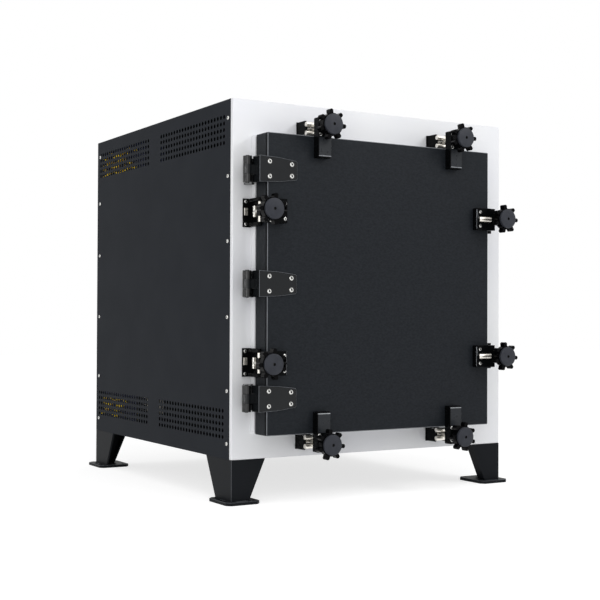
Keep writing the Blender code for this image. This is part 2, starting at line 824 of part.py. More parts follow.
def door_gasket():
    """A ring of fibre rope that the closed door presses on its seat."""
    half, rise = DOOR_WIDTH / 2 - GASKET_INSET, DOOR_HEIGHT / 2 - GASKET_INSET
    corner = GASKET_CORNER + GASKET_WIDTH
    loops = [
        round_rectangle(half, rise, corner, CORNER_STEPS),
        round_rectangle(half - GASKET_WIDTH, rise - GASKET_WIDTH, GASKET_CORNER, CORNER_STEPS),
    ]
    middle = (0, -SEAT_THICKNESS - SEAT_TO_DOOR / 2, 0)
    part("door_gasket", outline(loops, SEAT_TO_DOOR - 2 * GAP, UPRIGHT, middle), "fibre_rope", DOOR)


# Hinges. Each is made round its own pin: x across, y back, z up the pin
def knuckle(low, high, radius=BARREL_RADIUS):
    return rod((0, 0, low), (0, 0, high), radius, ROUND_FACETS)


def hinge_frame_leaf(name, parent):
    """A foot beside the seat, with two arms that end in knuckles and the pin fixed in them."""
    half, middle = HINGE_HEIGHT / 2, MIDDLE_KNUCKLE / 2
    right = HINGE_AXIS_OUT - HINGE_FOOT_CLEARANCE
    left = right - HINGE_FOOT_WIDTH
    back = HINGE_AXIS_FORWARD - GAP
    leaf = part(
        name,
        box((left, back - HINGE_FOOT_THICKNESS, -half), (right, back, half)),
        "black_steel",
        parent,
    )
    root, inset = back - HINGE_FOOT_THICKNESS / 2, HINGE_PLATE / 4
    run = Vector(((left + right) / 2, root)).normalized()
    waist = Vector((run.y, -run.x)) * BARREL_RADIUS * HINGE_WAIST_SHARE
    arm = [(left + inset, root), (right - inset, root), (waist.x, waist.y), (-waist.x, -waist.y)]
    for low, high in ((-half, -middle), (middle, half)):
        join(leaf, outline([arm], high - low, FLAT, (0, 0, (low + high) / 2)), knuckle(low, high))
    join(leaf, knuckle(-half - HINGE_PIN_PROUD, half + HINGE_PIN_PROUD, HINGE_PIN_RADIUS))
    smooth(leaf)


def hinge_door_leaf(name, parent):
    """The tapering leaf on the face of the door, its wall beside the barrel, and the middle knuckle."""
    front = HINGE_AXIS_FORWARD - DOOR_FACE - GAP - HINGE_PLATE
    half, end = HINGE_HEIGHT / 2, LEAF_END_HEIGHT / 2
    bulge = (half + end) / 2 + LEAF_BULGE
    far = LEAF_REACH - LEAF_CORNER
    upper = arc((far, end - LEAF_CORNER), LEAF_CORNER, 90, 0, CORNER_STEPS)
    loop = [(HINGE_WALL_OUT, half), ((HINGE_WALL_OUT + LEAF_REACH) / 2, bulge), *upper]
    loop += [(across, -up) for across, up in reversed(loop)]
    leaf = part(
        name,
        outline([loop], HINGE_PLATE, UPRIGHT, (0, front + HINGE_PLATE / 2, 0)),
        "black_steel",
        parent,
    )
    rise = MIDDLE_KNUCKLE / 2 - RUNNING_GAP
    middle = HINGE_WALL_OUT + HINGE_WALL / 2
    join(
        leaf,
        box(
            (HINGE_WALL_OUT, front + HINGE_PLATE / 2, -half),
            (HINGE_WALL_OUT + HINGE_WALL, 0, half),
        ),
        box((0, -HINGE_WALL, -rise), (middle, -HINGE_WALL / 4, rise)),
        knuckle(-rise, rise),
    )
    cut(leaf, knuckle(-HINGE_HEIGHT, HINGE_HEIGHT, HINGE_PIN_RADIUS + GAP))
    smooth(leaf)


# Clamps. Each is made round its own bolt: x away from the door, y along its edge, z forward
def keeper_ear(low, high, reach, thickness, along):
    """An ear with both front corners cut off, square to the door's edge."""
    foot, nose = KEEPER_PLATE / 2, reach - KEEPER_NOSE
    loop = [(low, foot), (high, foot), (high, nose), (high - KEEPER_NOSE, reach)]
    loop += [(low + KEEPER_NOSE, reach), (low, nose)]
    return outline([loop], thickness, UPRIGHT, (0, along, 0))


def keeper_pins(ear, forward, radius, places):
    """The cross pins that hold the hook, from the middle of one ear to the middle of the other."""
    return [rod((x, -ear, forward), (x, ear, forward), radius, PIN_FACETS) for x in places]


def side_keeper(name, parent, pins):
    """A plate on the front plate, a cheek beside the seat, and two ears with a cross pin or two."""
    low, half = -SIDE_KEEPER_INBOARD, SIDE_KEEPER_LENGTH / 2
    ear_low, ear_high = low + KEEPER_STEP, max(pins) * SIDE_PIN_OUT + SIDE_EAR_MARGIN
    high = max(SIDE_KEEPER_OUTBOARD, ear_high + KEEPER_STEP)
    made = part(
        name, box((low, -half, GAP), (high, half, GAP + KEEPER_PLATE)), "black_steel", parent
    )
    cheek_low, cheek_half = low + KEEPER_STEP / 2, half - KEEPER_STEP / 2
    cheek = box(
        (cheek_low, -cheek_half, KEEPER_PLATE / 2),
        (cheek_low + SIDE_CHEEK, cheek_half, SIDE_CHEEK_REACH),
    )
    ear = half - KEEPER_STEP - SIDE_EAR / 2
    ears = [keeper_ear(ear_low, ear_high, SIDE_EAR_REACH, SIDE_EAR, y) for y in (-ear, ear)]
    places = [side * SIDE_PIN_OUT for side in pins]
    join(made, cheek, *ears, *keeper_pins(ear, SIDE_PIN_FORWARD, SIDE_PIN_RADIUS, places))


def end_keeper(name, parent):
    """A short plate with two ears, and two thick pins across their fronts."""
    low, high, half = -END_KEEPER_INBOARD, END_KEEPER_OUTBOARD, END_KEEPER_LENGTH / 2
    made = part(
        name, box((low, -half, GAP), (high, half, GAP + KEEPER_PLATE)), "black_steel", parent
    )
    low, high = low + KEEPER_STEP, high - KEEPER_STEP
    ear = half - KEEPER_STEP - END_EAR / 2
    ears = [keeper_ear(low, high, END_EAR_REACH, END_EAR, y) for y in (-ear, ear)]
    places = (-END_PIN_OUT, END_PIN_OUT)
    join(made, *ears, *keeper_pins(ear, END_PIN_FORWARD, END_PIN_RADIUS, places))


def bolt_bore():
    start, end = (0, 0, DOOR_FACE - CUT_OVERRUN), (0, 0, BRACKET_FACE + CUT_OVERRUN)
    return rod(start, end, BOLT_RADIUS + RUNNING_GAP, PIN_FACETS)


def end_bracket(name, parent):
    """A thick strap over the door's top or bottom edge, chamfered at the end that lies on the door."""
    profile = [
        (-STRAP_INBOARD, BRACKET_REAR),
        (STRAP_OUTBOARD, BRACKET_REAR),
        (STRAP_OUTBOARD, BRACKET_FACE),
        (STRAP_CHAMFER - STRAP_INBOARD, BRACKET_FACE),
        (-STRAP_INBOARD, BRACKET_FACE - STRAP_CHAMFER),
    ]
    made = part(name, outline([profile], STRAP_WIDTH, UPRIGHT), "black_steel", parent)
    bevel(made, BRACKET_EDGE)
    cut(made, bolt_bore())


def side_bracket(name, parent):
    """A block over the door's side edge, with a round boss and a bar lying in a slot."""
    left, face = -BLOCK_INBOARD, BRACKET_REAR + BLOCK_THICKNESS
    length = BLOCK_INBOARD + BLOCK_OUTBOARD
    block = round_rectangle(length / 2, BLOCK_WIDTH / 2, BLOCK_CORNER, CORNER_STEPS)
    middle = (left + length / 2, 0, BRACKET_REAR + BLOCK_THICKNESS / 2)
    made = part(name, outline([block], BLOCK_THICKNESS, FLAT, middle), "black_steel", parent)
    bevel(made, BRACKET_EDGE)
    floor = BRACKET_REAR + SLOT_FLOOR
    slot_start, slot_end = left + SLOT_MARGIN, left + SLOT_MARGIN + SLOT_LENGTH
    cut(
        made,
        box((slot_start, -SLOT_WIDTH / 2, floor), (slot_end, SLOT_WIDTH / 2, face + CUT_OVERRUN)),
    )
    reach = SLOT_MARGIN / 2
    bar_start = (slot_start - reach, 0, floor + ARM_RADIUS - GAP)
    bar_end = (slot_end, 0, floor + ARM_RADIUS - GAP)
    boss_foot = (0, 0, BRACKET_REAR + BLOCK_THICKNESS / 2)
    join(
        made,
        rod(bar_start, bar_end, ARM_RADIUS, PIN_FACETS),
        rod(boss_foot, (0, 0, BRACKET_FACE), BOSS_RADIUS, ROUND_FACETS),
    )
    cut(made, bolt_bore())


def hook_bolt(name, parent, forward):
    """A bolt with a cross bar for its head, which a quarter turn hooks behind the pins."""
    end = (0, 0, KNOB_REAR + BOLT_GRIP)
    made = part(
        name, rod((0, 0, forward), end, BOLT_RADIUS, PIN_FACETS), "bright_steel", parent
    )
    low, high = (0, -HOOK_HALF, forward), (0, HOOK_HALF, forward)
    join(made, rod(low, high, HOOK_RADIUS, PIN_FACETS))
    smooth(made)


def star_loop():
    """Round lobes with shallow hollows between them."""
    pitch = 360 / KNOB_LOBES
    loop = []
    for lobe in range(KNOB_LOBES):
        angle = lobe * pitch
        centre = arc((0, 0), LOBE_CIRCLE, angle, angle, 1)[0]
        loop += arc(centre, LOBE_RADIUS, angle - 90, angle + 90, LOBE_STEPS)
        loop += arc((0, 0), VALLEY_RADIUS, angle + pitch / 3, angle + 2 * pitch / 3, 2)
    return loop


def star_knob(name, parent):
    """A hub, a star of lobes and a dished cap, bored from behind for the bolt."""
    cap = KNOB_CAP_RADIUS
    under_cap = KNOB_HUB_LENGTH + KNOB_STAR / 2
    profile = [
        (0, KNOB_LENGTH),
        (cap - KNOB_CAP_EDGE, KNOB_LENGTH),
        (cap, KNOB_LENGTH - KNOB_CAP_EDGE),
        (cap, under_cap),
        (KNOB_HUB_RADIUS, under_cap),
        (KNOB_HUB_RADIUS, 0),
        (0, 0),
    ]
    core = turned(profile, KNOB_FACETS)
    core.transform(Matrix.Translation((0, 0, KNOB_REAR)))
    made = part(name, core, "black_plastic", parent)
    middle = KNOB_REAR + KNOB_HUB_LENGTH + KNOB_STAR / 2
    face = KNOB_REAR + KNOB_LENGTH
    join(made, outline([star_loop()], KNOB_STAR, FLAT, (0, 0, middle)))
    cut(
        made,
        rod(
            (0, 0, KNOB_REAR - CUT_OVERRUN),
            (0, 0, KNOB_REAR + BOLT_GRIP + GAP),
            BOLT_RADIUS + GAP,
            PIN_FACETS,
        ),
        rod(
            (0, 0, face - KNOB_DIMPLE_DEPTH),
            (0, 0, face + CUT_OVERRUN),
            KNOB_DIMPLE_RADIUS,
            PIN_FACETS,
        ),
    )
    smooth(made)


def clamp_frame(x, z, outward):
    """The matrix of a clamp's own frame, from its bolt's place and the way that faces off the door."""
    forward = Vector((0, -1, 0))
    along = forward.cross(outward)
    turn = Matrix((outward, along, forward)).transposed().to_4x4()
    return Matrix.Translation((x, 0, z)) @ turn


def clamp(name, x, z, outward):
    place = clamp_frame(x, z, Vector(outward))
    on_plate = frame("keeper_place_" + name, place, FURNACE)
    on_door = frame("bolt_axis_" + name, Matrix.Translation(-HINGE_AXIS) @ place, DOOR_HINGE)
    upright = outward[0] != 0
    if upright:
        # A bolt on the hinge side swings out past its keeper, so only the door's side has a pin
        side_keeper("keeper_" + name, on_plate, (-1,) if outward[0] < 0 else (-1, 1))
        side_bracket("clamp_bracket_" + name, on_door)
        hook_bolt("hook_bolt_" + name, on_door, SIDE_HOOK_FORWARD)
    else:
        end_keeper("keeper_" + name, on_plate)
        end_bracket("clamp_bracket_" + name, on_door)
        hook_bolt("hook_bolt_" + name, on_door, END_HOOK_FORWARD)
    star_knob("star_knob_" + name, on_door)


front_plate()
door_seat_frame()
side_panel("left_side_panel", -1)
side_panel("right_side_panel", 1)
top_panel()
back_panel()
base_frame()
chamber_lining()
hearth_plate()
heating_element("heating_element_left", -1)
heating_element("heating_element_right", 1)
thermocouple()
transformer()
wire_duct()
cable_gland()
for end_name, end in (("front", -1), ("rear", 1)):
    for side_name, side in (("left", -1), ("right", 1)):
        leg(f"leg_{end_name}_{side_name}", side, end)

door_shell()
door_plug()
door_gasket()
for level, step in (("upper", 1), ("middle", 0), ("lower", -1)):
    height = Vector((0, 0, CHAMBER_Z + step * HINGE_SPACING))
    hinge_frame_leaf("hinge_frame_leaf_" + level, frame("hinge_" + level, HINGE_AXIS + height, FURNACE))
    hinge_door_leaf("hinge_door_leaf_" + level, frame("hinge_pin_" + level, height, DOOR_HINGE))

for side_name, side, shift in (("left", -1, LEFT_CLAMP_SHIFT), ("right", 1, RIGHT_CLAMP_SHIFT)):
    x = CHAMBER_X + END_CLAMP_SHIFT + side * END_CLAMP_HALF
    reach = DOOR_HEIGHT / 2 + END_BOLT_OUT
    clamp("top_" + side_name, x, CHAMBER_Z + reach, (0, 0, 1))
    clamp("bottom_" + side_name, x, CHAMBER_Z - reach, (0, 0, -1))
    x = CHAMBER_X + side * (DOOR_WIDTH / 2 + SIDE_BOLT_OUT)
    for level, step in (("upper", 1), ("lower", -1)):
        z = CHAMBER_Z + shift + step * SIDE_CLAMP_RISE
        clamp(f"{side_name}_{level}", x, z, (side, 0, 0))
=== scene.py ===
import json
import math

import bmesh
import bpy
from mathutils import Matrix, Vector


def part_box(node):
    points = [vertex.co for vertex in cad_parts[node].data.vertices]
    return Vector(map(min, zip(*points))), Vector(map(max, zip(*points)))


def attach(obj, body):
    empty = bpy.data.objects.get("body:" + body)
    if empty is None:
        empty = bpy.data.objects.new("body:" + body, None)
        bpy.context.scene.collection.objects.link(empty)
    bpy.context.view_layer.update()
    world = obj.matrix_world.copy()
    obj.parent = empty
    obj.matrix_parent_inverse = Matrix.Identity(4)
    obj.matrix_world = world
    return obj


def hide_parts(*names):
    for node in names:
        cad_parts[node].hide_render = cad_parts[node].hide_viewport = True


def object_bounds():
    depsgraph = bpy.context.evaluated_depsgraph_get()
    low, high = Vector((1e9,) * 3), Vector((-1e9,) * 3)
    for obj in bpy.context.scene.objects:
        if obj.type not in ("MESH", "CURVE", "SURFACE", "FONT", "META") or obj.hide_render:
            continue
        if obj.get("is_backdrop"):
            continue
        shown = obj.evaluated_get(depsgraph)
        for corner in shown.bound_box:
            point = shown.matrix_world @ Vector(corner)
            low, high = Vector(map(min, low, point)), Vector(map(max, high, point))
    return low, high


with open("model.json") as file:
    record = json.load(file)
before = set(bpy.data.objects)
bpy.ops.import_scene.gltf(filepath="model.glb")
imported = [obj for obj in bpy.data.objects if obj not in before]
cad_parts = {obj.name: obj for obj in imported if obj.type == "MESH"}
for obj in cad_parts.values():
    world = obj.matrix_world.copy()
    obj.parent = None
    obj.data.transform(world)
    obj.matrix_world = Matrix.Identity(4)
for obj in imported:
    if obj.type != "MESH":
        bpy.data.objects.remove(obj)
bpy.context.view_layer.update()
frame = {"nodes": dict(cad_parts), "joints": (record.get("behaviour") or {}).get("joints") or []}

nodes = frame["nodes"]

# The place of the casing. Everything below is set out from the face, the underside and the middle
# of the folded front plate, which is where the real furnace is measured from.
plate_low, plate_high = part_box("front_plate")
face_y = plate_low.y
under_z = plate_low.z
top_z = plate_high.z
half_width = plate_high.x
back_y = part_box("back_panel")[1].y


# The camera. It stands about 3.5 m off to the left, a little below the middle of the casing, and
# looks along the line that was fitted to the casing's edges.
camera_x, camera_y, camera_z = -1.9803, -2.8798, 0.3933
yaw, pitch, roll = math.radians(30.88), math.radians(0.80), math.radians(0.23)
level_right = Vector((math.cos(yaw), -math.sin(yaw), 0))
flat_forward = Vector((math.sin(yaw), math.cos(yaw), 0))
forward = math.cos(pitch) * flat_forward + math.sin(pitch) * Vector((0, 0, 1))
level_up = level_right.cross(forward)
right = math.cos(roll) * level_right + math.sin(roll) * level_up
up = right.cross(forward)
lens = bpy.data.cameras.new("camera")
lens.sensor_width = 36
lens.lens = 70.7
lens.shift_y = 0.002
camera = bpy.data.objects.new("camera", lens)
bpy.context.scene.collection.objects.link(camera)
camera.matrix_world = (
    Matrix.Translation((camera_x, camera_y + face_y, camera_z + under_z))
    @ Matrix((right, up, -forward)).transposed().to_4x4()
)
bpy.context.scene.camera = camera
bpy.context.scene.view_settings.view_transform = "Standard"


# The studio. A white sweep under a bright overcast ceiling, with one wide lamp overhead and one to
# the left. A high one on the right brightens the top of the door, and the small ones draw sparks.
def linear(code):
    """Linear colour from an sRGB hex code."""
    shares = [int(code[i : i + 2], 16) / 255 for i in (1, 3, 5)]
    return (*[c / 12.92 if c <= 0.04045 else ((c + 0.055) / 1.055) ** 2.4 for c in shares], 1)


def add_node(tree, kind, settings=None, links=None):
    """A node with its settings, its inputs set to a value or linked to another node's output."""
    made = tree.nodes.new(kind)
    for name, value in (settings or {}).items():
        setattr(made, name, value)
    for name, value in (links or {}).items():
        if isinstance(value, bpy.types.NodeSocket):
            tree.links.new(value, made.inputs[name])
        else:
            made.inputs[name].default_value = value
    return made


def camera_share(tree):
    """1 on what the camera, a mirror or a glass sees directly, 0 on what lights the object."""
    path = add_node(tree, "ShaderNodeLightPath")
    seen = add_node(
        tree,
        "ShaderNodeMath",
        {"operation": "MAXIMUM"},
        {0: path.outputs["Is Camera Ray"], 1: path.outputs["Is Glossy Ray"]},
    )
    seen = add_node(
        tree,
        "ShaderNodeMath",
        {"operation": "MAXIMUM"},
        {0: seen.outputs[0], 1: path.outputs["Is Transmission Ray"]},
    )
    return seen.outputs[0]


world = bpy.data.worlds.new("white_room")
bpy.context.scene.world = world
world.use_nodes = True
tree = world.node_tree
tree.nodes.clear()
room_strength = 0.70
white = add_node(tree, "ShaderNodeBackground", links={"Color": (1, 1, 1, 1), "Strength": 1.0})
ambient = add_node(
    tree,
    "ShaderNodeBackground",
    links={"Color": (1, 1, 1, 1), "Strength": room_strength},
)
mixed = add_node(
    tree,
    "ShaderNodeMixShader",
    links={0: camera_share(tree), 1: ambient.outputs[0], 2: white.outputs[0]},
)
add_node(tree, "ShaderNodeOutputWorld", links={"Surface": mixed.outputs[0]})


def lamp(name, place, target, width, height, power):
    """An oblong area lamp that faces its target."""
    light = bpy.data.lights.new(name, "AREA")
    light.shape = "RECTANGLE"
    light.size = width
    light.size_y = height
    light.energy = power
    made = bpy.data.objects.new(name, light)
    bpy.context.scene.collection.objects.link(made)
    made.location = place
    made.rotation_mode = "QUATERNION"
    made.rotation_quaternion = (Vector(target) - Vector(place)).to_track_quat("-Z", "Y")


middle = Vector((0, 0, 0.55))
lamp("overhead_softbox", (-0.6, -1.9, 3.1), middle, 2.6, 1.8, 24)
lamp("left_softbox", (-2.2, -3.0, 0.9), middle, 1.4, 1.6, 17)
lamp("high_right_softbox", (1.9, -3.0, 2.6), (0.2, -0.4, 0.9), 1.0, 0.7, 24)
lamp("narrow_strip", (-3.0, -0.8, 0.8), (-0.4, -0.5, 0.6), 0.06, 1.5, 5)
lamp("small_left_lamp", (-1.6, -3.2, 2.3), (0, -0.4, 0.6), 0.1, 0.1, 4)
lamp("small_right_lamp", (1.2, -3.2, 1.9), (0, -0.4, 0.6), 0.1, 0.1, 3)

bpy.ops.object.select_all(action="DESELECT")
bpy.ops.mesh.primitive_plane_add(size=24, location=(0, 0, 0))
floor = bpy.context.active_object
floor.name = "studio_floor"
floor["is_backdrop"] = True
paper = bpy.data.materials.new("white_paper_floor")
paper.use_nodes = True
tree = paper.node_tree
tree.nodes.clear()
glow_strength, shadow_share = 1.45, 0.50
matt = add_node(tree, "ShaderNodeBsdfDiffuse", links={"Color": linear("#f4f4f4")})
glow = add_node(
    tree,
    "ShaderNodeEmission",
    links={"Color": (1, 1, 1, 1), "Strength": glow_strength},
)
share = add_node(
    tree,
    "ShaderNodeMath",
    {"operation": "MULTIPLY"},
    {0: camera_share(tree), 1: 1 - shadow_share},
)
mixed = add_node(
    tree,
    "ShaderNodeMixShader",
    links={0: share.outputs[0], 1: matt.outputs[0], 2: glow.outputs[0]},
)
add_node(tree, "ShaderNodeOutputMaterial", links={"Surface": mixed.outputs[0]})
floor.data.materials.append(paper)


# Finishes of the sheet metal. Powder coat is a baked resin skin: the light one is smooth with a
# faint orange peel, the dark one has a fine grain that scatters the light and hides the gloss.
def finish(name, colour, roughness, metallic=0.0, specular=0.5):
    """A material with its even values set. Returns it, its tree and its shader."""
    made = bpy.data.materials.new(name)
    made.use_nodes = True
    tree = made.node_tree
    shader = tree.nodes["Principled BSDF"]
    shader.inputs["Base Color"].default_value = linear(colour)
    shader.inputs["Roughness"].default_value = roughness
    shader.inputs["Metallic"].default_value = metallic
    shader.inputs["Specular IOR Level"].default_value = specular
    return made, tree, shader


def grain(tree, size, detail=2.0, stretch=(1, 1, 1), roughness=0.5):
    """Noise whose blotches are about this size in metres, from Object coordinates."""
    place = add_node(tree, "ShaderNodeTexCoord")
    turned = add_node(
        tree, "ShaderNodeMapping", links={"Vector": place.outputs["Object"], "Scale": stretch}
    )
    return add_node(
        tree,
        "ShaderNodeTexNoise",
        links={
            "Vector": turned.outputs[0],
            "Scale": 1 / size,
            "Detail": detail,
            "Roughness": roughness,
        },
    ).outputs[0]


def ranged(tree, pattern, low, high):
    """The pattern's middle span stretched to run from low to high."""
    return add_node(
        tree,
        "ShaderNodeMapRange",
        links={0: pattern, 1: 0.35, 2: 0.65, 3: low, 4: high},
    ).outputs[0]


def bumped(tree, shader, pattern, strength, distance):
    """Relief over the finish, as deep as the distance in metres."""
    bump = add_node(
        tree,
        "ShaderNodeBump",
        links={"Height": pattern, "Strength": strength, "Distance": distance},
    )
    tree.links.new(bump.outputs[0], shader.inputs["Normal"])


def toned(tree, shader, pattern, dark, light):
    """Colour that wanders between two hex codes with the pattern."""
    mixed = add_node(
        tree,
        "ShaderNodeMix",
        {"data_type": "RGBA"},
        {0: ranged(tree, pattern, 0, 1), 6: linear(dark), 7: linear(light)},
    )
    tree.links.new(mixed.outputs[2], shader.inputs["Base Color"])


def polished(tree, shader, size, low, high):
    """Roughness that wanders from low to high in blotches of this size in metres."""
    tree.links.new(ranged(tree, grain(tree, size), low, high), shader.inputs["Roughness"])


light_coat, tree, shader = finish("smooth_light_grey_powder_coat", "#dfe0e3", 0.40, specular=0.4)
bumped(tree, shader, grain(tree, 0.0022), 0.10, 0.0002)
toned(tree, shader, grain(tree, 0.25), "#dddee2", "#e2e3e5")

dark_coat, tree, shader = finish("textured_charcoal_powder_coat", "#1f2227", 0.55, specular=0.04)
bumped(tree, shader, grain(tree, 0.0016, 3), 0.30, 0.0003)
toned(tree, shader, grain(tree, 0.12, 3), "#1e2126", "#212429")

black_enamel, tree, shader = finish("gloss_black_enamel", "#070809", 0.20, specular=0.04)
bumped(tree, shader, grain(tree, 0.003), 0.08, 0.0002)
polished(tree, shader, 0.012, 0.15, 0.28)


def coated(thing, *materials):
    """Gives an object these finishes, the first of them on every face."""
    thing.data.materials.clear()
    for material in materials:
        thing.data.materials.append(material)


for name in ("front_plate", "door_seat_frame"):
    coated(nodes[name], light_coat)
for name in ("top_panel", "back_panel"):
    coated(nodes[name], dark_coat)
coated(nodes["base_frame"], black_enamel)


# Side panels. Folded sheet steel, punched with four fields of round vents, five rows deep. The
# blank field between the groups is left whole to keep the sheet stiff.
vent_radius, punch_depth = 0.0059, 0.012
vent_rows, row_pitch, column_pitch = 5, 0.0182, 0.0194
front_columns, rear_columns = 23, 22
front_group, rear_group = 0.0535, 0.5795
upper_rows, lower_rows = 0.881, 0.060
hole_wall_area = 0.00001


def only(thing):
    """Makes this the one selected and active object."""
    bpy.ops.object.select_all(action="DESELECT")
    thing.select_set(True)
    bpy.context.view_layer.objects.active = thing


def apply_all(thing):
    only(thing)
    for modifier in list(thing.modifiers):
        bpy.ops.object.modifier_apply(modifier=modifier.name)


def joined(name, things):
    """One object from several, its place kept in its mesh."""
    bpy.ops.object.select_all(action="DESELECT")
    for thing in things:
        thing.select_set(True)
    bpy.context.view_layer.objects.active = things[0]
    if len(things) > 1:
        bpy.ops.object.join()
    things[0].name = name
    bpy.ops.object.transform_apply(location=True, rotation=True, scale=True)
    return things[0]


def set_out(name, model, places):
    """Copies of a model, each with its own mesh, at these matrices, joined into one object."""
    copies = []
    for place in places:
        made = model.copy()
        made.data = model.data.copy()
        made.data.transform(place)
        bpy.context.scene.collection.objects.link(made)
        copies.append(made)
    return joined(name, copies)


def merged_copy(name, node):
    """A CAD node's mesh as a new object, its loose triangles merged and made flat faces again."""
    made = bpy.data.objects.new(name, nodes[node].data.copy())
    bpy.context.scene.collection.objects.link(made)
    only(made)
    bpy.ops.object.mode_set(mode="EDIT")
    bpy.ops.mesh.select_all(action="SELECT")
    bpy.ops.mesh.remove_doubles(threshold=0.00001)
    bpy.ops.mesh.dissolve_limited(angle_limit=math.radians(1))
    bpy.ops.object.mode_set(mode="OBJECT")
    return made


def near(value, target, reach=0.00005):
    return abs(value - target) < reach


def box_at(place, size):
    """A box of this size about this point, its place kept in its mesh."""
    bpy.ops.object.select_all(action="DESELECT")
    bpy.ops.mesh.primitive_cube_add(size=1, location=place)
    made = bpy.context.active_object
    made.scale = size
    bpy.ops.object.transform_apply(location=True, rotation=True, scale=True)
    return made


def cut_out(thing, cutter, name):
    """Takes the cutter's form out of an object, and then the cutter away."""
    cut = thing.modifiers.new(name, "BOOLEAN")
    cut.operation = "DIFFERENCE"
    cut.object = cutter
    apply_all(thing)
    bpy.data.objects.remove(cutter)


def bevel_edges(thing, chosen, width, segments=1, material=-1):
    """Bevels the edges that the test picks, and can give the new faces a finish of their own."""
    only(thing)
    bpy.ops.object.mode_set(mode="EDIT")
    bpy.ops.mesh.select_all(action="DESELECT")
    bm = bmesh.from_edit_mesh(thing.data)
    for edge in bm.edges:
        edge.select = chosen(edge)
    bmesh.update_edit_mesh(thing.data)
    if any(edge.select for edge in bm.edges):
        bpy.ops.mesh.bevel(offset=width, segments=segments, affect="EDGES", material=material)
    bpy.ops.object.mode_set(mode="OBJECT")


def smoothed(thing, degrees):
    """Shades an object smooth wherever its faces meet at less than this angle."""
    only(thing)
    bpy.ops.object.shade_smooth_by_angle(angle=math.radians(degrees))


def side_panel(node, side):
    panel = merged_copy(node + "_sheet", node)
    bpy.ops.object.select_all(action="DESELECT")
    bpy.ops.mesh.primitive_cylinder_add(
        vertices=12,
        radius=vent_radius,
        depth=punch_depth,
        rotation=(0, math.pi / 2, 0),
    )
    punch = bpy.context.active_object
    bpy.ops.object.transform_apply(location=False, rotation=True, scale=False)
    places = []
    for first_y, columns in ((front_group, front_columns), (rear_group, rear_columns)):
        for first_z in (upper_rows, lower_rows):
            for row in range(vent_rows):
                for column in range(columns):
                    y = face_y + first_y + column * column_pitch
                    z = under_z + first_z + row * row_pitch
                    places.append(Matrix.Translation((side * half_width, y, z)))
    punches = set_out("vent_punches", punch, places)
    bpy.data.objects.remove(punch)
    cut_out(panel, punches, "vents")
    coated(panel, dark_coat, black_enamel)
    # The vent holes' walls take black enamel: painted shade inside the punched holes.
    for face in panel.data.polygons:
        if abs(face.normal.x) < 0.9 and face.area < hole_wall_area:
            face.material_index = 1
    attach(panel, "root")
    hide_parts(node)


side_panel("left_side_panel", -1)
side_panel("right_side_panel", 1)


# Screws. Zinc-plated button heads with a socket painted black as shade, on a black washer, which
# hold every panel, hinge, keeper and bracket.
zinc, tree, shader = finish("bright_zinc_plate", "#d9d9d6", 0.24, metallic=1.0)
polished(tree, shader, 0.0008, 0.16, 0.34)
# Black for the washers, and painted shade inside the sockets and the knob cap's hole.
black_washer_and_socket_shade, tree, shader = finish("oily_black_socket", "#0a0a0b", 0.5)
bumped(tree, shader, grain(tree, 0.0008), 0.2, 0.0001)


def button_screw(name, radius):
    """A domed head along +Z with a round socket, and the washer under it."""
    height = 0.45 * radius
    bpy.ops.object.select_all(action="DESELECT")
    bpy.ops.mesh.primitive_cylinder_add(
        vertices=18, radius=radius, depth=height, location=(0, 0, height / 2)
    )
    head = bpy.context.active_object
    bpy.ops.object.transform_apply(location=True, rotation=False, scale=False)
    bpy.ops.object.mode_set(mode="EDIT")
    bm = bmesh.from_edit_mesh(head.data)
    bpy.ops.mesh.select_all(action="DESELECT")
    for face in bm.faces:
        face.select = face.normal.z > 0.9
    bm.select_flush_mode()
    bmesh.update_edit_mesh(head.data)
    bpy.ops.mesh.bevel(offset=height * 0.7, segments=3, affect="EDGES")
    bm = bmesh.from_edit_mesh(head.data)
    for face in bm.faces:
        face.select = face.normal.z > 0.99 and near(face.calc_center_median().z, height)
    bmesh.update_edit_mesh(head.data)
    bpy.ops.mesh.inset(thickness=radius * 0.25)
    bpy.ops.mesh.extrude_region_move(TRANSFORM_OT_translate={"value": (0, 0, -height * 0.6)})
    bpy.ops.object.mode_set(mode="OBJECT")
    head.data.materials.append(zinc)
    head.data.materials.append(black_washer_and_socket_shade)
    # The socket's walls and floor take the painted shade.
    for face in head.data.polygons:
        inside = face.center.xy.length < radius * 0.45 and face.center.z < height * 0.99
        if inside and face.center.z > height * 0.2:
            face.material_index = 1
    smoothed(head, 35)
    bpy.ops.object.select_all(action="DESELECT")
    bpy.ops.mesh.primitive_cylinder_add(
        vertices=18, radius=radius * 1.28, depth=radius * 0.12, location=(0, 0, radius * 0.06)
    )
    washer = bpy.context.active_object
    washer.data.materials.append(black_washer_and_socket_shade)
    return joined(name, [head, washer])


def facing(position, direction):
    """The matrix that stands a piece made along +Z on a surface that faces this way."""
    turn = Vector((0, 0, 1)).rotation_difference(Vector(direction)).to_matrix().to_4x4()
    return Matrix.Translation(position) @ turn


panel_screw = button_screw("panel_screw", radius=0.0052)
side_heights, side_rows = (0.043, 0.189, 0.394, 0.605, 0.786, 0.948), (0.028, 0.025)
back_columns, back_heights = (-0.44, -0.15, 0.15, 0.44), (0.03, 0.97)
back_edge, back_edge_heights = 0.455, (0.26, 0.5, 0.74)
top_columns, top_rows = (-0.43, 0.43), (0.05, 0.36, 0.67, 0.98)
panel_screw_places = {}
for side, side_name in ((-1, "left"), (1, "right")):
    panel_screw_places[side_name + "_panel_screws"] = [
        facing((side * half_width, y, under_z + z), (side, 0, 0))
        for y in (face_y + side_rows[0], back_y - side_rows[1])
        for z in side_heights
    ]
panel_screw_places["back_panel_screws"] = [
    facing((x, back_y, under_z + z), (0, 1, 0)) for x in back_columns for z in back_heights
] + [
    facing((side * back_edge, back_y, under_z + z), (0, 1, 0))
    for z in back_edge_heights
    for side in (-1, 1)
]
panel_screw_places["top_panel_screws"] = [
    facing((x, face_y + y, top_z), (0, 0, 1)) for x in top_columns for y in top_rows
]
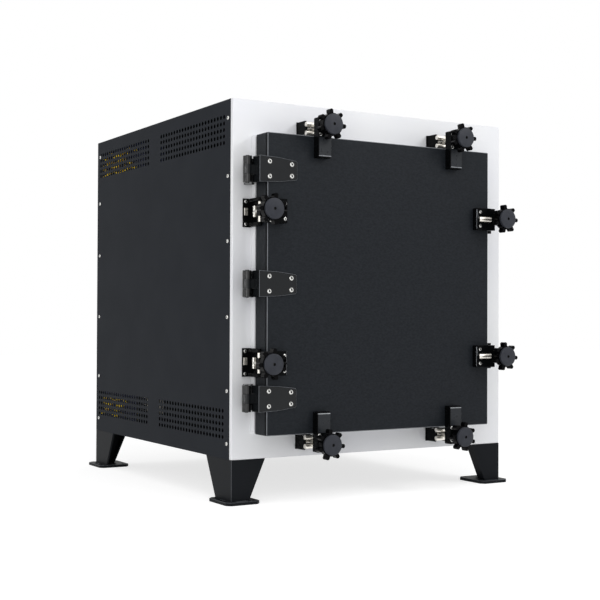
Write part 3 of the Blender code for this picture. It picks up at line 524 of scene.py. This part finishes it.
for name, places in panel_screw_places.items():
    screws = set_out(name, panel_screw, places)
    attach(screws, "root")
bpy.data.objects.remove(panel_screw)


# Door. A deep steel pan closed by a front skin, both in a leather-grain powder coat. The groove
# between them holds painted shade in black, and the skin's chamfered edge a painted highlight.
door_coat, tree, shader = finish(
    "leather_grain_charcoal_powder_coat", "#1b1e22", 0.40, specular=0.09
)
hide = grain(tree, 0.0042, 4, (0.55, 1, 1), 0.6)
bumped(tree, shader, hide, 0.40, 0.0006)
toned(tree, shader, hide, "#181b1f", "#1f2226")
# A lighter grey painted on chamfers, folds and rims: a painted highlight of the edges.
painted_edge_highlight, tree, shader = finish("worn_edge_of_the_coat", "#5c5f64", 0.40, specular=0.4)
toned(tree, shader, grain(tree, 0.03, 4), "#54575c", "#66696e")
# Black painted in the groove between pan and skin: painted shade of the recess.
groove_painted_shade, tree, shader = finish("black_rubber_seal", "#050506", 0.7, specular=0.1)
bumped(tree, shader, grain(tree, 0.001), 0.1, 0.0001)
skin_thickness, groove_width, groove_depth, overrun = 0.003, 0.005, 0.003, 0.01
flattest, steepest = 0.3, 0.98
door_low, door_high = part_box("door_shell")
door = merged_copy("door_pan_and_skin", "door_shell")
groove_y = door_low.y + skin_thickness + groove_width / 2
middle_x, middle_z = (door_low.x + door_high.x) / 2, (door_low.z + door_high.z) / 2
wide, tall = door_high.x - door_low.x + overrun, door_high.z - door_low.z + overrun
for x, z, across, upward in (
    (door_low.x, middle_z, 2 * groove_depth, tall),
    (door_high.x, middle_z, 2 * groove_depth, tall),
    (middle_x, door_low.z, wide, 2 * groove_depth),
    (middle_x, door_high.z, wide, 2 * groove_depth),
):
    cut_out(door, box_at((x, groove_y, z), (across, groove_width, upward)), "groove")
coated(door, door_coat, painted_edge_highlight, groove_painted_shade)
for face in door.data.polygons:
    chamfered = flattest < abs(face.normal.y) < steepest
    # The skin's chamfer faces take the painted edge highlight.
    if chamfered and face.center.y < door_low.y + skin_thickness:
        face.material_index = 1
    # Faces in the groove take the painted shade.
    elif near(face.center.y, groove_y, groove_width / 2 + 0.0001):
        face.material_index = 2
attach(door, "door")
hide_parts("door_shell")


# Legs. Folded plate on clipped and slotted foot plates, in a satin black enamel. The folds and the
# rims carry a painted highlight in a lighter grey.
leg_enamel, tree, shader = finish("satin_black_leg_enamel", "#181a1d", 0.45, specular=0.05)
bumped(tree, shader, grain(tree, 0.0016, 3), 0.20, 0.0002)
foot_top, fold_inset, fold_rim = 0.009, 0.022, 0.0006
slot_length, slot_width, slot_rounding = 0.036, 0.009, 0.00432
front_slot, side_slot = 0.0525, 0.062
shortest_rim = 0.014


def highlit_rim(edge, fold):
    """Whether the edge is the leg's fold or one of the long upper rims of its foot."""
    ends = [vertex.co for vertex in edge.verts]
    on_fold = all(near(end.x, fold.x) and near(end.y, fold.y) for end in ends)
    on_foot = all(near(end.z, foot_top) for end in ends) and edge.calc_length() > shortest_rim
    walls = [face.calc_center_median().z for face in edge.link_faces]
    return on_fold or (on_foot and min(walls) < foot_top * 0.9)


for name in [name for name in nodes if name.startswith("leg_")]:
    low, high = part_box(name)
    side, end = (1 if low.x + high.x > 0 else -1), (1 if low.y + high.y > 0 else -1)
    corner = Vector((high.x if side > 0 else low.x, high.y if end > 0 else low.y, 0))
    fold = corner - Vector((side, end, 0)) * fold_inset
    leg = merged_copy(name + "_plates", name)
    for off_x, off_y, long_x, long_y in (
        (front_slot, fold_inset / 2, slot_length, slot_width),
        (fold_inset / 2, side_slot, slot_width, slot_length),
    ):
        place = (corner.x - side * off_x, corner.y - end * off_y, foot_top / 2)
        cutter = box_at(place, (long_x, long_y, 3 * foot_top))
        bevel_edges(
            cutter,
            lambda edge: abs(edge.verts[0].co.z - edge.verts[1].co.z) > foot_top,
            slot_rounding,
            4,
        )
        cut_out(leg, cutter, "slotted")
    coated(leg, leg_enamel, painted_edge_highlight)
    bevel_edges(leg, lambda edge: highlit_rim(edge, fold), fold_rim, material=1)
    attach(leg, "root")
    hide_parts(name)


# Hinges. Heavy steel butt hinges in satin black, with glossier barrels and a painted highlight on
# the leaves' rims in lighter grey. Four button screws hold each leaf to the door, nearer together
# where the leaf tapers.
satin_black, tree, shader = finish("satin_black_hinge_enamel", "#151719", 0.14, specular=0.22)
bumped(tree, shader, grain(tree, 0.003), 0.10, 0.0002)
polished(tree, shader, 0.012, 0.11, 0.18)
barrel_enamel, tree, shader = finish("gloss_barrel_enamel", "#090a0b", 0.16, specular=0.45)
bumped(tree, shader, grain(tree, 0.003), 0.06, 0.0001)
polished(tree, shader, 0.012, 0.14, 0.20)
leaf_screw = button_screw("leaf_screw", radius=0.0064)
leaf_rim, shortest_leaf_edge = 0.0009, 0.003
inner_inset, inner_spread = 0.0035, 0.0205
outer_inset, outer_spread = 0.018, 0.016
for level in ("upper", "middle", "lower"):
    node = "hinge_frame_leaf_" + level
    barrel = merged_copy("barrel_" + level, node)
    coated(barrel, barrel_enamel)
    smoothed(barrel, 32)
    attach(barrel, "root")
    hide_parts(node)
    node = "hinge_door_leaf_" + level
    leaf_low, leaf_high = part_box(node)
    leaf = merged_copy("leaf_" + level, node)
    coated(leaf, satin_black, painted_edge_highlight)
    front = min(vertex.co.y for vertex in leaf.data.vertices)
    bevel_edges(
        leaf,
        lambda edge: edge.calc_length() > shortest_leaf_edge
        and all(near(vertex.co.y, front) for vertex in edge.verts),
        leaf_rim,
        material=1,
    )
    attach(leaf, "door")
    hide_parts(node)
    centre = (leaf_low.z + leaf_high.z) / 2
    inner, outer = door_low.x + inner_inset, leaf_high.x - outer_inset
    places = [
        facing((x, leaf_low.y, centre + rise), (0, -1, 0))
        for x, spread in ((inner, inner_spread), (outer, outer_spread))
        for rise in (-spread, spread)
    ]
    screws = set_out("hinge_screws_" + level, leaf_screw, places)
    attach(screws, "door")
bpy.data.objects.remove(leaf_screw)


# Clamps. Each is set out from its bolt: first away from the door's edge, then along the edge, then
# forward from the face of the front plate.
outward = {"top": (0, 0, 1), "bottom": (0, 0, -1), "left": (-1, 0, 0), "right": (1, 0, 0)}
clamps = {}
for joint in frame["joints"]:
    if joint["name"].startswith("clamp_turn_"):
        name = joint["name"].removeprefix("clamp_turn_")
        off = Vector(outward[name.split("_")[0]])
        ahead = Vector((0, -1, 0))
        turn = Matrix((off, ahead.cross(off), ahead)).transposed().to_4x4()
        place = Vector(joint["pos_m"])
        place.y = face_y
        clamps[name] = Matrix.Translation(place) @ turn


# Keepers. Black steel channels screwed to the front plate. Bright hardened rollers turn on the
# cross pins between their ears, and the bolt's hook draws up against them. On the hinge side a
# bright lug lies in the channel.
hard_steel, tree, shader = finish("ground_hardened_steel", "#efebe2", 0.32, metallic=0.9)
bumped(tree, shader, grain(tree, 0.0006, 2, (1, 12, 1)), 0.12, 0.0001)
polished(tree, shader, 0.004, 0.26, 0.40)
keeper_screw = button_screw("keeper_screw", radius=0.0046)
keeper_floor, roller_clearance = 0.0053, 0.0003
keeper_spots = {
    "left": ((0.0025, -0.0314), (0.0025, 0.0314)),
    "right": ((0.0025, -0.018), (0.0025, 0.018)),
    "top": ((0.018, 0), (-0.010, 0)),
    "bottom": ((0.018, 0), (-0.010, 0)),
}
pin_places = {
    "left": (-0.0105,),
    "right": (-0.0105, 0.0105),
    "top": (-0.0125, 0.0125),
    "bottom": (-0.0125, 0.0125),
}
lug_place, lug_size, lug_rounding = (0.0028, -0.003, 0.0073), (0.011, 0.021, 0.004), 0.0008


def rod(axis, place, radius, length, chamfer, vertices):
    """A bright rod along X or Y about this point, its ends chamfered."""
    bpy.ops.object.select_all(action="DESELECT")
    bpy.ops.mesh.primitive_cylinder_add(
        vertices=vertices,
        radius=radius,
        depth=length,
        location=place,
        rotation=(math.pi / 2, 0, 0) if axis == "y" else (0, math.pi / 2, 0),
    )
    made = bpy.context.active_object
    bpy.ops.object.transform_apply(location=True, rotation=True, scale=True)
    bevel_edges(
        made,
        lambda edge: near(*(getattr(vertex.co, axis) for vertex in edge.verts)),
        chamfer,
        2,
    )
    made.data.materials.append(hard_steel)
    smoothed(made, 30)
    return made


for name, place in clamps.items():
    node = "keeper_" + name
    coated(nodes[node], black_enamel)
    side_name = name.split("_")[0]
    if side_name in ("left", "right"):
        radius, length, pin_forward = 0.0046, 0.0565, 0.062
    else:
        radius, length, pin_forward = 0.0065 + roller_clearance, 0.0466, 0.052
    places = [
        place @ Matrix.Translation((x, y, keeper_floor)) for x, y in keeper_spots[side_name]
    ]
    screws = set_out(node + "_screws", keeper_screw, places)
    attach(screws, "root")
    if side_name == "left":
        lug = box_at(lug_place, lug_size)
        bevel_edges(lug, lambda edge: True, lug_rounding, 2)
        lug.data.materials.append(hard_steel)
        lug.name = node + "_lug"
        lug.data.transform(place)
        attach(lug, "root")
    sleeves = []
    for out in pin_places[side_name]:
        made = rod("y", (out, 0, pin_forward), radius, length, radius * 0.12, vertices=24)
        made.data.transform(place)
        sleeves.append(made)
    sleeves = joined(node + "_rollers", sleeves)
    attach(sleeves, "root")


# Brackets. The straps over the top and bottom edges and the slotted blocks at the sides are black
# steel, screwed to the door. A thin black sheet under a strap's knob is painted shade. Past its
# slot a block narrows to its boss, and a polished bar fills the slot.
strap_enamel, tree, shader = finish(
    "satin_charcoal_strap_enamel", "#202327", 0.32, specular=0.22
)
bumped(tree, shader, grain(tree, 0.003), 0.10, 0.0002)
polished(tree, shader, 0.012, 0.26, 0.38)
# A lighter grey painted on the straps' far chamfers and the blocks' tail edges: a painted
# highlight.
painted_highlight_steel_edge, tree, shader = finish("edge_worn_to_bare_steel", "#74777b", 0.35, specular=0.4)
toned(tree, shader, grain(tree, 0.01, 4), "#66696d", "#828589")
bracket_rear, block_thickness, strap_thickness = 0.0923, 0.019, 0.026
neck_start, neck_end, neck_half = -0.007, 0.02, 0.0158
block_tail, left_block_end = -0.09, -0.069
side_slope, face_slope, strap_chamfer_start = 0.8, 0.99, -0.07
mill_rear, mill_front, mill_half = 0.09, 0.12, 0.04
bright_line, bright_line_width = -0.0675, 0.0006
front_reach, shortest_bright_edge = 0.0012, 0.02
knob_shade_sheet_x, knob_shade_sheet_long, knob_shade_sheet_wide, knob_shade_sheet_thickness = -0.0038, 0.0525, 0.0405, 0.00025
bar_radius, bar_forward, bar_chamfer = 0.0097, bracket_rear + 0.0105, 0.001
bar_near, bar_far = 0.0183, {"left": 0.0450, "right": 0.0657}
strap_spots = tuple((x, side * 0.0160) for x in (-0.0240, 0.0130) for side in (-1, 1))
bracket_spots = {
    "left": ((-0.062, -0.021), (-0.062, 0.021), (-0.018, -0.0275), (-0.018, 0.0275)),
    "right": ((-0.064, -0.021), (-0.064, 0.021)),
    "top": strap_spots,
    "bottom": strap_spots,
}


def trimmed_block(name, node, place, cuts):
    """The block with pieces milled off it, each given by its lowest and highest corner."""
    block = merged_copy(name, node)
    for low, high in cuts:
        low, high = Vector(low), Vector(high)
        cutter = box_at((low + high) / 2, high - low)
        cutter.data.transform(place)
        cut_out(block, cutter, "milled")
    coated(block, black_enamel, painted_highlight_steel_edge)
    front = bracket_rear + block_thickness
    back = place.inverted()

    def highlit_tail(edge):
        ends = [back @ vertex.co for vertex in edge.verts]
        at_tail = all(near(end.z, front, front_reach) and end.x < bright_line for end in ends)
        return at_tail and edge.calc_length() > shortest_bright_edge

    # The tail's front edges take the painted highlight.
    bevel_edges(block, highlit_tail, bright_line_width, material=1)
    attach(block, "door")
    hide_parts(node)


for name, place in clamps.items():
    node = "clamp_bracket_" + name
    side_name = name.split("_")[0]
    upright = side_name in ("left", "right")
    face = bracket_rear + (block_thickness if upright else strap_thickness)
    if not upright:
        strap = merged_copy("strap_" + name, node)
        coated(strap, strap_enamel, black_enamel, painted_highlight_steel_edge)
        back = place.inverted()
        for polygon in strap.data.polygons:
            turned_to = back.to_3x3() @ polygon.normal
            # Faces not turned forward take black enamel: painted shade on the strap's sides.
            if turned_to.z < side_slope:
                polygon.material_index = 1
            elif turned_to.z < face_slope:
                # The far part of the front chamfer takes the painted highlight.
                if (back @ polygon.center).x < strap_chamfer_start:
                    polygon.material_index = 2
        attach(strap, "door")
        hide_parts(node)
        # A thin black sheet under the knob: painted shade of the knob on the strap.
        knob_shade_sheet = box_at((knob_shade_sheet_x, 0, face + knob_shade_sheet_thickness / 2), (knob_shade_sheet_long, knob_shade_sheet_wide, knob_shade_sheet_thickness))
        knob_shade_sheet.data.materials.append(black_enamel)
        knob_shade_sheet.name = "friction_pad_" + name
        knob_shade_sheet.data.transform(place)
        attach(knob_shade_sheet, "door")
        face += knob_shade_sheet_thickness
    places = [place @ Matrix.Translation((x, y, face)) for x, y in bracket_spots[side_name]]
    screws = set_out(node + "_screws", keeper_screw, places)
    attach(screws, "door")
    if upright:
        cuts = [
            ((neck_start, neck_half, mill_rear), (neck_end, mill_half, mill_front)),
            ((neck_start, -mill_half, mill_rear), (neck_end, -neck_half, mill_front)),
        ]
        if side_name == "left":
            cuts.append(
                ((block_tail, -mill_half, mill_rear), (left_block_end, mill_half, mill_front))
            )
        trimmed_block("slotted_block_" + name, node, place, cuts)
        far = bar_far[side_name]
        bar_place = (-(far + bar_near) / 2, 0, bar_forward)
        bar = rod("x", bar_place, bar_radius, far - bar_near, bar_chamfer, vertices=32)
        bar.name = "polished_bar_" + name
        bar.data.transform(place)
        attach(bar, "door")
bpy.data.objects.remove(keeper_screw)


# Hook bolts. Turned bright steel with a rolled thread of 1.5 mm pitch, which shows as fine rings.
bolt_steel, tree, shader = finish("threaded_bright_steel", "#cfcdc8", 0.26, metallic=1.0)
thread_pitch = 0.0015
coordinates = add_node(tree, "ShaderNodeTexCoord")
thread = add_node(
    tree,
    "ShaderNodeTexWave",
    {"wave_type": "BANDS", "bands_direction": "Y", "wave_profile": "SIN"},
    {"Vector": coordinates.outputs["Object"], "Scale": 2 * math.pi / 20 / thread_pitch},
)
bumped(tree, shader, thread.outputs["Fac"], 0.6, 0.0004)
for name in clamps:
    coated(nodes["hook_bolt_" + name], bolt_steel)


# Star knobs. Moulded black thermoset with seven lobes, a hub and collar behind, and a satin grey
# disc let into the front, with a socket at its middle.
thermoset, tree, shader = finish("moulded_black_thermoset", "#050506", 0.16, specular=0.05)
bumped(tree, shader, grain(tree, 0.0015), 0.08, 0.0002)
polished(tree, shader, 0.01, 0.12, 0.20)
grey_cap, tree, shader = finish("satin_grey_cap", "#2e3036", 0.40, specular=0.15)
bumped(tree, shader, grain(tree, 0.0008, 2), 0.15, 0.0001)
toned(tree, shader, grain(tree, 0.02, 3), "#2b2d33", "#313339")
lobes, steps_to_a_lobe = 7, 22
lobe_circle, lobe_radius, valley_radius = 0.0365, 0.0066, 0.0315
star_low, star_high, star_rounding = 0.1400, 0.1580, 0.0028
knob_rear, knob_face = 0.1186, 0.1660
hub_radius, hub_rounding, collar_radius, collar_rounding = 0.015, 0.001, 0.019, 0.0015
cap_radius, cap_rounding, cap_depth = 0.0285, 0.0022, 0.003
hole_radius, hole_depth, hole_lip = 0.0042, 0.006, 0.001
hub_overlap, collar_overlap, collar_height = 0.002, 0.001, 0.006


def star_radius(angle):
    """The star's outline: round lobes on a circle, and the hollows between them."""
    pitch = 2 * math.pi / lobes
    off = (angle + pitch / 2) % pitch - pitch / 2
    across = lobe_circle * math.sin(off)
    if abs(across) >= lobe_radius:
        return valley_radius
    tip = lobe_circle * math.cos(off) + math.sqrt(lobe_radius**2 - across**2)
    return max(valley_radius, tip)


def level_at(edge, heights):
    """Whether the edge lies level at one of these heights."""
    low, high = (vertex.co.z for vertex in edge.verts)
    return near(low, high) and any(near(low, height) for height in heights)


def turned_disc(name, radius, low, high, rounding, vertices, material):
    """A disc or collar about the bolt with both rims rounded."""
    bpy.ops.object.select_all(action="DESELECT")
    bpy.ops.mesh.primitive_cylinder_add(
        vertices=vertices, radius=radius, depth=high - low, location=(0, 0, (low + high) / 2)
    )
    made = bpy.context.active_object
    bpy.ops.object.transform_apply(location=True, rotation=False, scale=False)
    bevel_edges(made, lambda edge: level_at(edge, (low, high)), rounding, 3)
    made.data.materials.append(material)
    made.name = name
    smoothed(made, 35)
    return made


bpy.ops.object.select_all(action="DESELECT")
bpy.ops.mesh.primitive_circle_add(
    vertices=lobes * steps_to_a_lobe, radius=valley_radius, fill_type="NGON", location=(0, 0, 0)
)
star = bpy.context.active_object
for vertex in star.data.vertices:
    angle = math.atan2(vertex.co.y, vertex.co.x)
    vertex.co = Vector((math.cos(angle), math.sin(angle), 0)) * star_radius(angle)
    vertex.co.z = star_low
bpy.ops.object.mode_set(mode="EDIT")
bpy.ops.mesh.select_all(action="SELECT")
bpy.ops.mesh.extrude_region_move(TRANSFORM_OT_translate={"value": (0, 0, star_high - star_low)})
bpy.ops.mesh.select_all(action="SELECT")
bpy.ops.mesh.normals_make_consistent(inside=False)
bpy.ops.object.mode_set(mode="OBJECT")
bevel_edges(star, lambda edge: level_at(edge, (star_low, star_high)), star_rounding, 3)
star.data.materials.append(thermoset)
smoothed(star, 40)
hub = turned_disc(
    "hub", hub_radius, knob_rear, star_low + hub_overlap, hub_rounding, 32, thermoset
)
collar_low, collar_high = star_low - collar_height, star_low + collar_overlap
collar = turned_disc(
    "collar", collar_radius, collar_low, collar_high, collar_rounding, 32, thermoset
)
knob_model = joined("knob_model", [star, hub, collar])
cap_model = turned_disc(
    "cap_model", cap_radius, star_high - cap_depth, knob_face, cap_rounding, 56, grey_cap
)
bpy.ops.object.mode_set(mode="EDIT")
bm = bmesh.from_edit_mesh(cap_model.data)
for face in bm.faces:
    face.select = face.normal.z > 0.99 and near(face.calc_center_median().z, knob_face)
bmesh.update_edit_mesh(cap_model.data)
bpy.ops.mesh.inset(thickness=cap_radius - cap_rounding - hole_radius)
bpy.ops.mesh.extrude_region_move(TRANSFORM_OT_translate={"value": (0, 0, -hole_depth)})
bpy.ops.object.mode_set(mode="OBJECT")
cap_model.data.materials.append(black_washer_and_socket_shade)
# The hole's walls and floor take the painted shade.
for face in cap_model.data.polygons:
    if face.center.xy.length < hole_radius and face.center.z < knob_face - hole_lip:
        face.material_index = 1
smoothed(cap_model, 35)
knob_turns = {
    "top_left": 8,
    "top_right": 13,
    "bottom_left": -20,
    "bottom_right": 15,
    "left_upper": 0,
    "left_lower": 3,
    "right_upper": -4,
    "right_lower": -6,
}
for name, place in clamps.items():
    turn = Matrix.Rotation(math.radians(knob_turns[name]), 4, "Z")
    knob = set_out("moulded_knob_" + name, knob_model, [place @ turn])
    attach(knob, "clamp_" + name)
    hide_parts("star_knob_" + name)
    cap = set_out("knob_cap_" + name, cap_model, [place @ turn])
    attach(cap, "clamp_" + name)
bpy.data.objects.remove(knob_model)
bpy.data.objects.remove(cap_model)


# Chamber. Vacuum-formed alumina fibre, soft and off-white, with a faint toasted tone where it has
# been fired. The plug in the door is the same.
fibre, tree, shader = finish("vacuum_formed_ceramic_fibre", "#e8e3d8", 0.95, specular=0.1)
bumped(tree, shader, grain(tree, 0.003, 6, (1, 1, 1), 0.7), 0.6, 0.0012)
toned(tree, shader, grain(tree, 0.10, 4), "#ddd5c6", "#ece8df")
coated(nodes["chamber_lining"], fibre)
coated(nodes["door_plug"], fibre)
rope, tree, shader = finish("braided_glass_fibre_rope", "#c9c3b4", 0.9, specular=0.15)
coordinates = add_node(tree, "ShaderNodeTexCoord")
braid = add_node(
    tree,
    "ShaderNodeTexWave",
    {"wave_type": "BANDS", "bands_direction": "DIAGONAL"},
    {"Vector": coordinates.outputs["Object"], "Scale": 90.0, "Distortion": 1.5},
)
bumped(tree, shader, braid.outputs["Fac"], 0.8, 0.0015)
coated(nodes["door_gasket"], rope)
carbide, tree, shader = finish("fired_silicon_carbide", "#4a4a4d", 0.75, specular=0.3)
bumped(tree, shader, grain(tree, 0.0012, 5), 0.5, 0.0005)
toned(tree, shader, grain(tree, 0.002, 3), "#434347", "#59595c")
coated(nodes["hearth_plate"], carbide)
oxide, tree, shader = finish("oxidised_heating_alloy", "#6b6158", 0.6, metallic=1.0)
toned(tree, shader, grain(tree, 0.02, 3), "#5a5048", "#7d7266")
for side_name in ("left", "right"):
    coated(nodes["heating_element_" + side_name], oxide)
alumina, tree, shader = finish("fired_alumina", "#eeeae0", 0.35, specular=0.5)
bumped(tree, shader, grain(tree, 0.002), 0.15, 0.0002)
coated(nodes["thermocouple"], alumina)


# Staples. Bent alloy wire that pins each run of the elements to the wall, four to a run.
staple_radius, staple_wire = 0.0062, 0.0016
run_count, run_inset, staple_shares = 8, 0.0045, (0.2, 0.4, 0.6, 0.8)
bpy.ops.object.select_all(action="DESELECT")
bpy.ops.mesh.primitive_torus_add(
    major_radius=staple_radius, minor_radius=staple_wire, major_segments=16, minor_segments=8
)
staple_model = bpy.context.active_object
staple_model.data.materials.append(oxide)
only(staple_model)
bpy.ops.object.shade_smooth()
for side_name in ("left", "right"):
    low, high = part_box("heating_element_" + side_name)
    first, last = low.y + run_inset, high.y - run_inset
    places = []
    for run in range(run_count):
        y = first + (last - first) * run / (run_count - 1)
        for share in staple_shares:
            z = low.z + (high.z - low.z) * share
            places.append(Matrix.Translation(((low.x + high.x) / 2, y, z)))
    staples = set_out("element_staples_" + side_name, staple_model, places)
    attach(staples, "root")
bpy.data.objects.remove(staple_model)


# Rear bay. A transformer with lacquered yellow coils below, trunking of dark blue plastic above,
# and yellow silicone cables that show through the rear vents.
lacquer, tree, shader = finish("lacquered_copper_winding", "#c9a31c", 0.4, specular=0.5)
coordinates = add_node(tree, "ShaderNodeTexCoord")
turns = add_node(
    tree,
    "ShaderNodeTexWave",
    {"wave_type": "BANDS", "bands_direction": "Z"},
    {"Vector": coordinates.outputs["Object"], "Scale": 105.0},
)
bumped(tree, shader, turns.outputs["Fac"], 0.7, 0.0012)
coated(nodes["transformer"], lacquer)
trunking, tree, shader = finish("dark_blue_trunking", "#232c58", 0.5, specular=0.4)
bumped(tree, shader, grain(tree, 0.004), 0.1, 0.0002)
coated(nodes["wire_duct"], trunking)
nylon, tree, shader = finish("black_nylon", "#141416", 0.42, specular=0.4)
bumped(tree, shader, grain(tree, 0.002), 0.12, 0.0002)
coated(nodes["cable_gland"], nylon)
silicone, tree, shader = finish("yellow_silicone_cable", "#ffd60a", 0.45, specular=0.4)
bumped(tree, shader, grain(tree, 0.003), 0.1, 0.0002)
panel_inside = -half_width + 0.002
cable_radius, cable_gap, cable_offset = 0.0048, 0.0002, 0.004


def cable(name, points, radius, material):
    """A round cable through these points, made a mesh."""
    curve = bpy.data.curves.new(name, "CURVE")
    curve.dimensions = "3D"
    curve.bevel_depth = radius
    curve.bevel_resolution = 3
    curve.resolution_u = 8
    curve.use_fill_caps = True
    spline = curve.splines.new("BEZIER")
    spline.bezier_points.add(len(points) - 1)
    for knot, point in zip(spline.bezier_points, points):
        knot.co = point
        knot.handle_left_type = knot.handle_right_type = "AUTO"
    made = bpy.data.objects.new(name, curve)
    bpy.context.scene.collection.objects.link(made)
    only(made)
    bpy.ops.object.convert(target="MESH")
    made = bpy.context.active_object
    made.data.materials.append(material)
    bpy.ops.object.mode_set(mode="EDIT")
    bpy.ops.mesh.select_all(action="SELECT")
    bpy.ops.mesh.remove_doubles(threshold=0.00005)
    bpy.ops.mesh.normals_make_consistent(inside=False)
    bpy.ops.object.mode_set(mode="OBJECT")
    smoothed(made, 50)
    return made


def loom(name, strands, knots, height, pitch, start, end, dip, wave, lag):
    """Cables above each other. Start and end are a place, a stagger, its stride and its cycle."""

    def staggered(strand, place, stagger, stride, cycle):
        return face_y + place + stagger * ((strand * stride) % cycle)

    cables = []
    for strand in range(strands):
        x = panel_inside + cable_radius + cable_gap + cable_offset * (strand % 2)
        first, last = staggered(strand, *start), staggered(strand, *end)
        points = []
        for knot in range(knots):
            y = first + (last - first) * knot / (knots - 1)
            z = under_z + height + strand * pitch + dip * math.sin(wave * knot + lag * strand)
            points.append((x, y, z))
        cables.append(cable("strand", points, cable_radius, silicone))
    cables = joined(name, cables)
    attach(cables, "root")


loom(
    "upper_rear_cables", 6, 7, 0.882, 0.0125, (0.700, 0.030, 3, 5), (0.985, -0.008, 2, 3),
    dip=0.007, wave=1.9, lag=2.3,
)
loom(
    "lower_rear_cables", 4, 6, 0.066, 0.0165, (0.770, 0.026, 2, 3), (0.975, -0.010, 1, 2),
    dip=0.006, wave=2.2, lag=1.7,
)


# Bay liners. Dark blue insulating card folded behind the cables, and black sheets behind the front
# vents as painted shade, which keeps the holes dark.
card_inset, card_thickness, card_fold = 0.0155, 0.0012, 0.004
upper_band, lower_band = (0.870, 0.962), (0.050, 0.140)


def card(name, side, span, band, material):
    """A card behind a panel's vents, from front to rear and from low to high."""
    depth = side * (-panel_inside - card_inset)
    middle_y, middle_z = sum(span) / 2, sum(band) / 2
    made = box_at(
        (depth, face_y + middle_y, under_z + middle_z),
        (card_thickness, span[1] - span[0], band[1] - band[0]),
    )
    bpy.ops.object.mode_set(mode="EDIT")
    bm = bmesh.from_edit_mesh(made.data)
    for face in bm.faces:
        face.select = abs(face.normal.z) > 0.9
    bmesh.update_edit_mesh(made.data)
    bpy.ops.mesh.extrude_region_shrink_fatten(TRANSFORM_OT_shrink_fatten={"value": card_fold})
    bpy.ops.object.mode_set(mode="OBJECT")
    made.data.materials.append(material)
    made.name = name
    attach(made, "root")


card("upper_bay_card", -1, (0.640, 0.992), upper_band, trunking)
card("lower_bay_card", -1, (0.700, 0.992), lower_band, trunking)
for side_name, side in (("left", -1), ("right", 1)):
    for level, band in (("upper", upper_band), ("lower", lower_band)):
        # Black sheets behind the front vents: painted shade seen through the holes.
        name = f"{side_name}_{level}_baffle"
        card(name, side, (0.045, 0.490), band, black_enamel)


low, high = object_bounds()
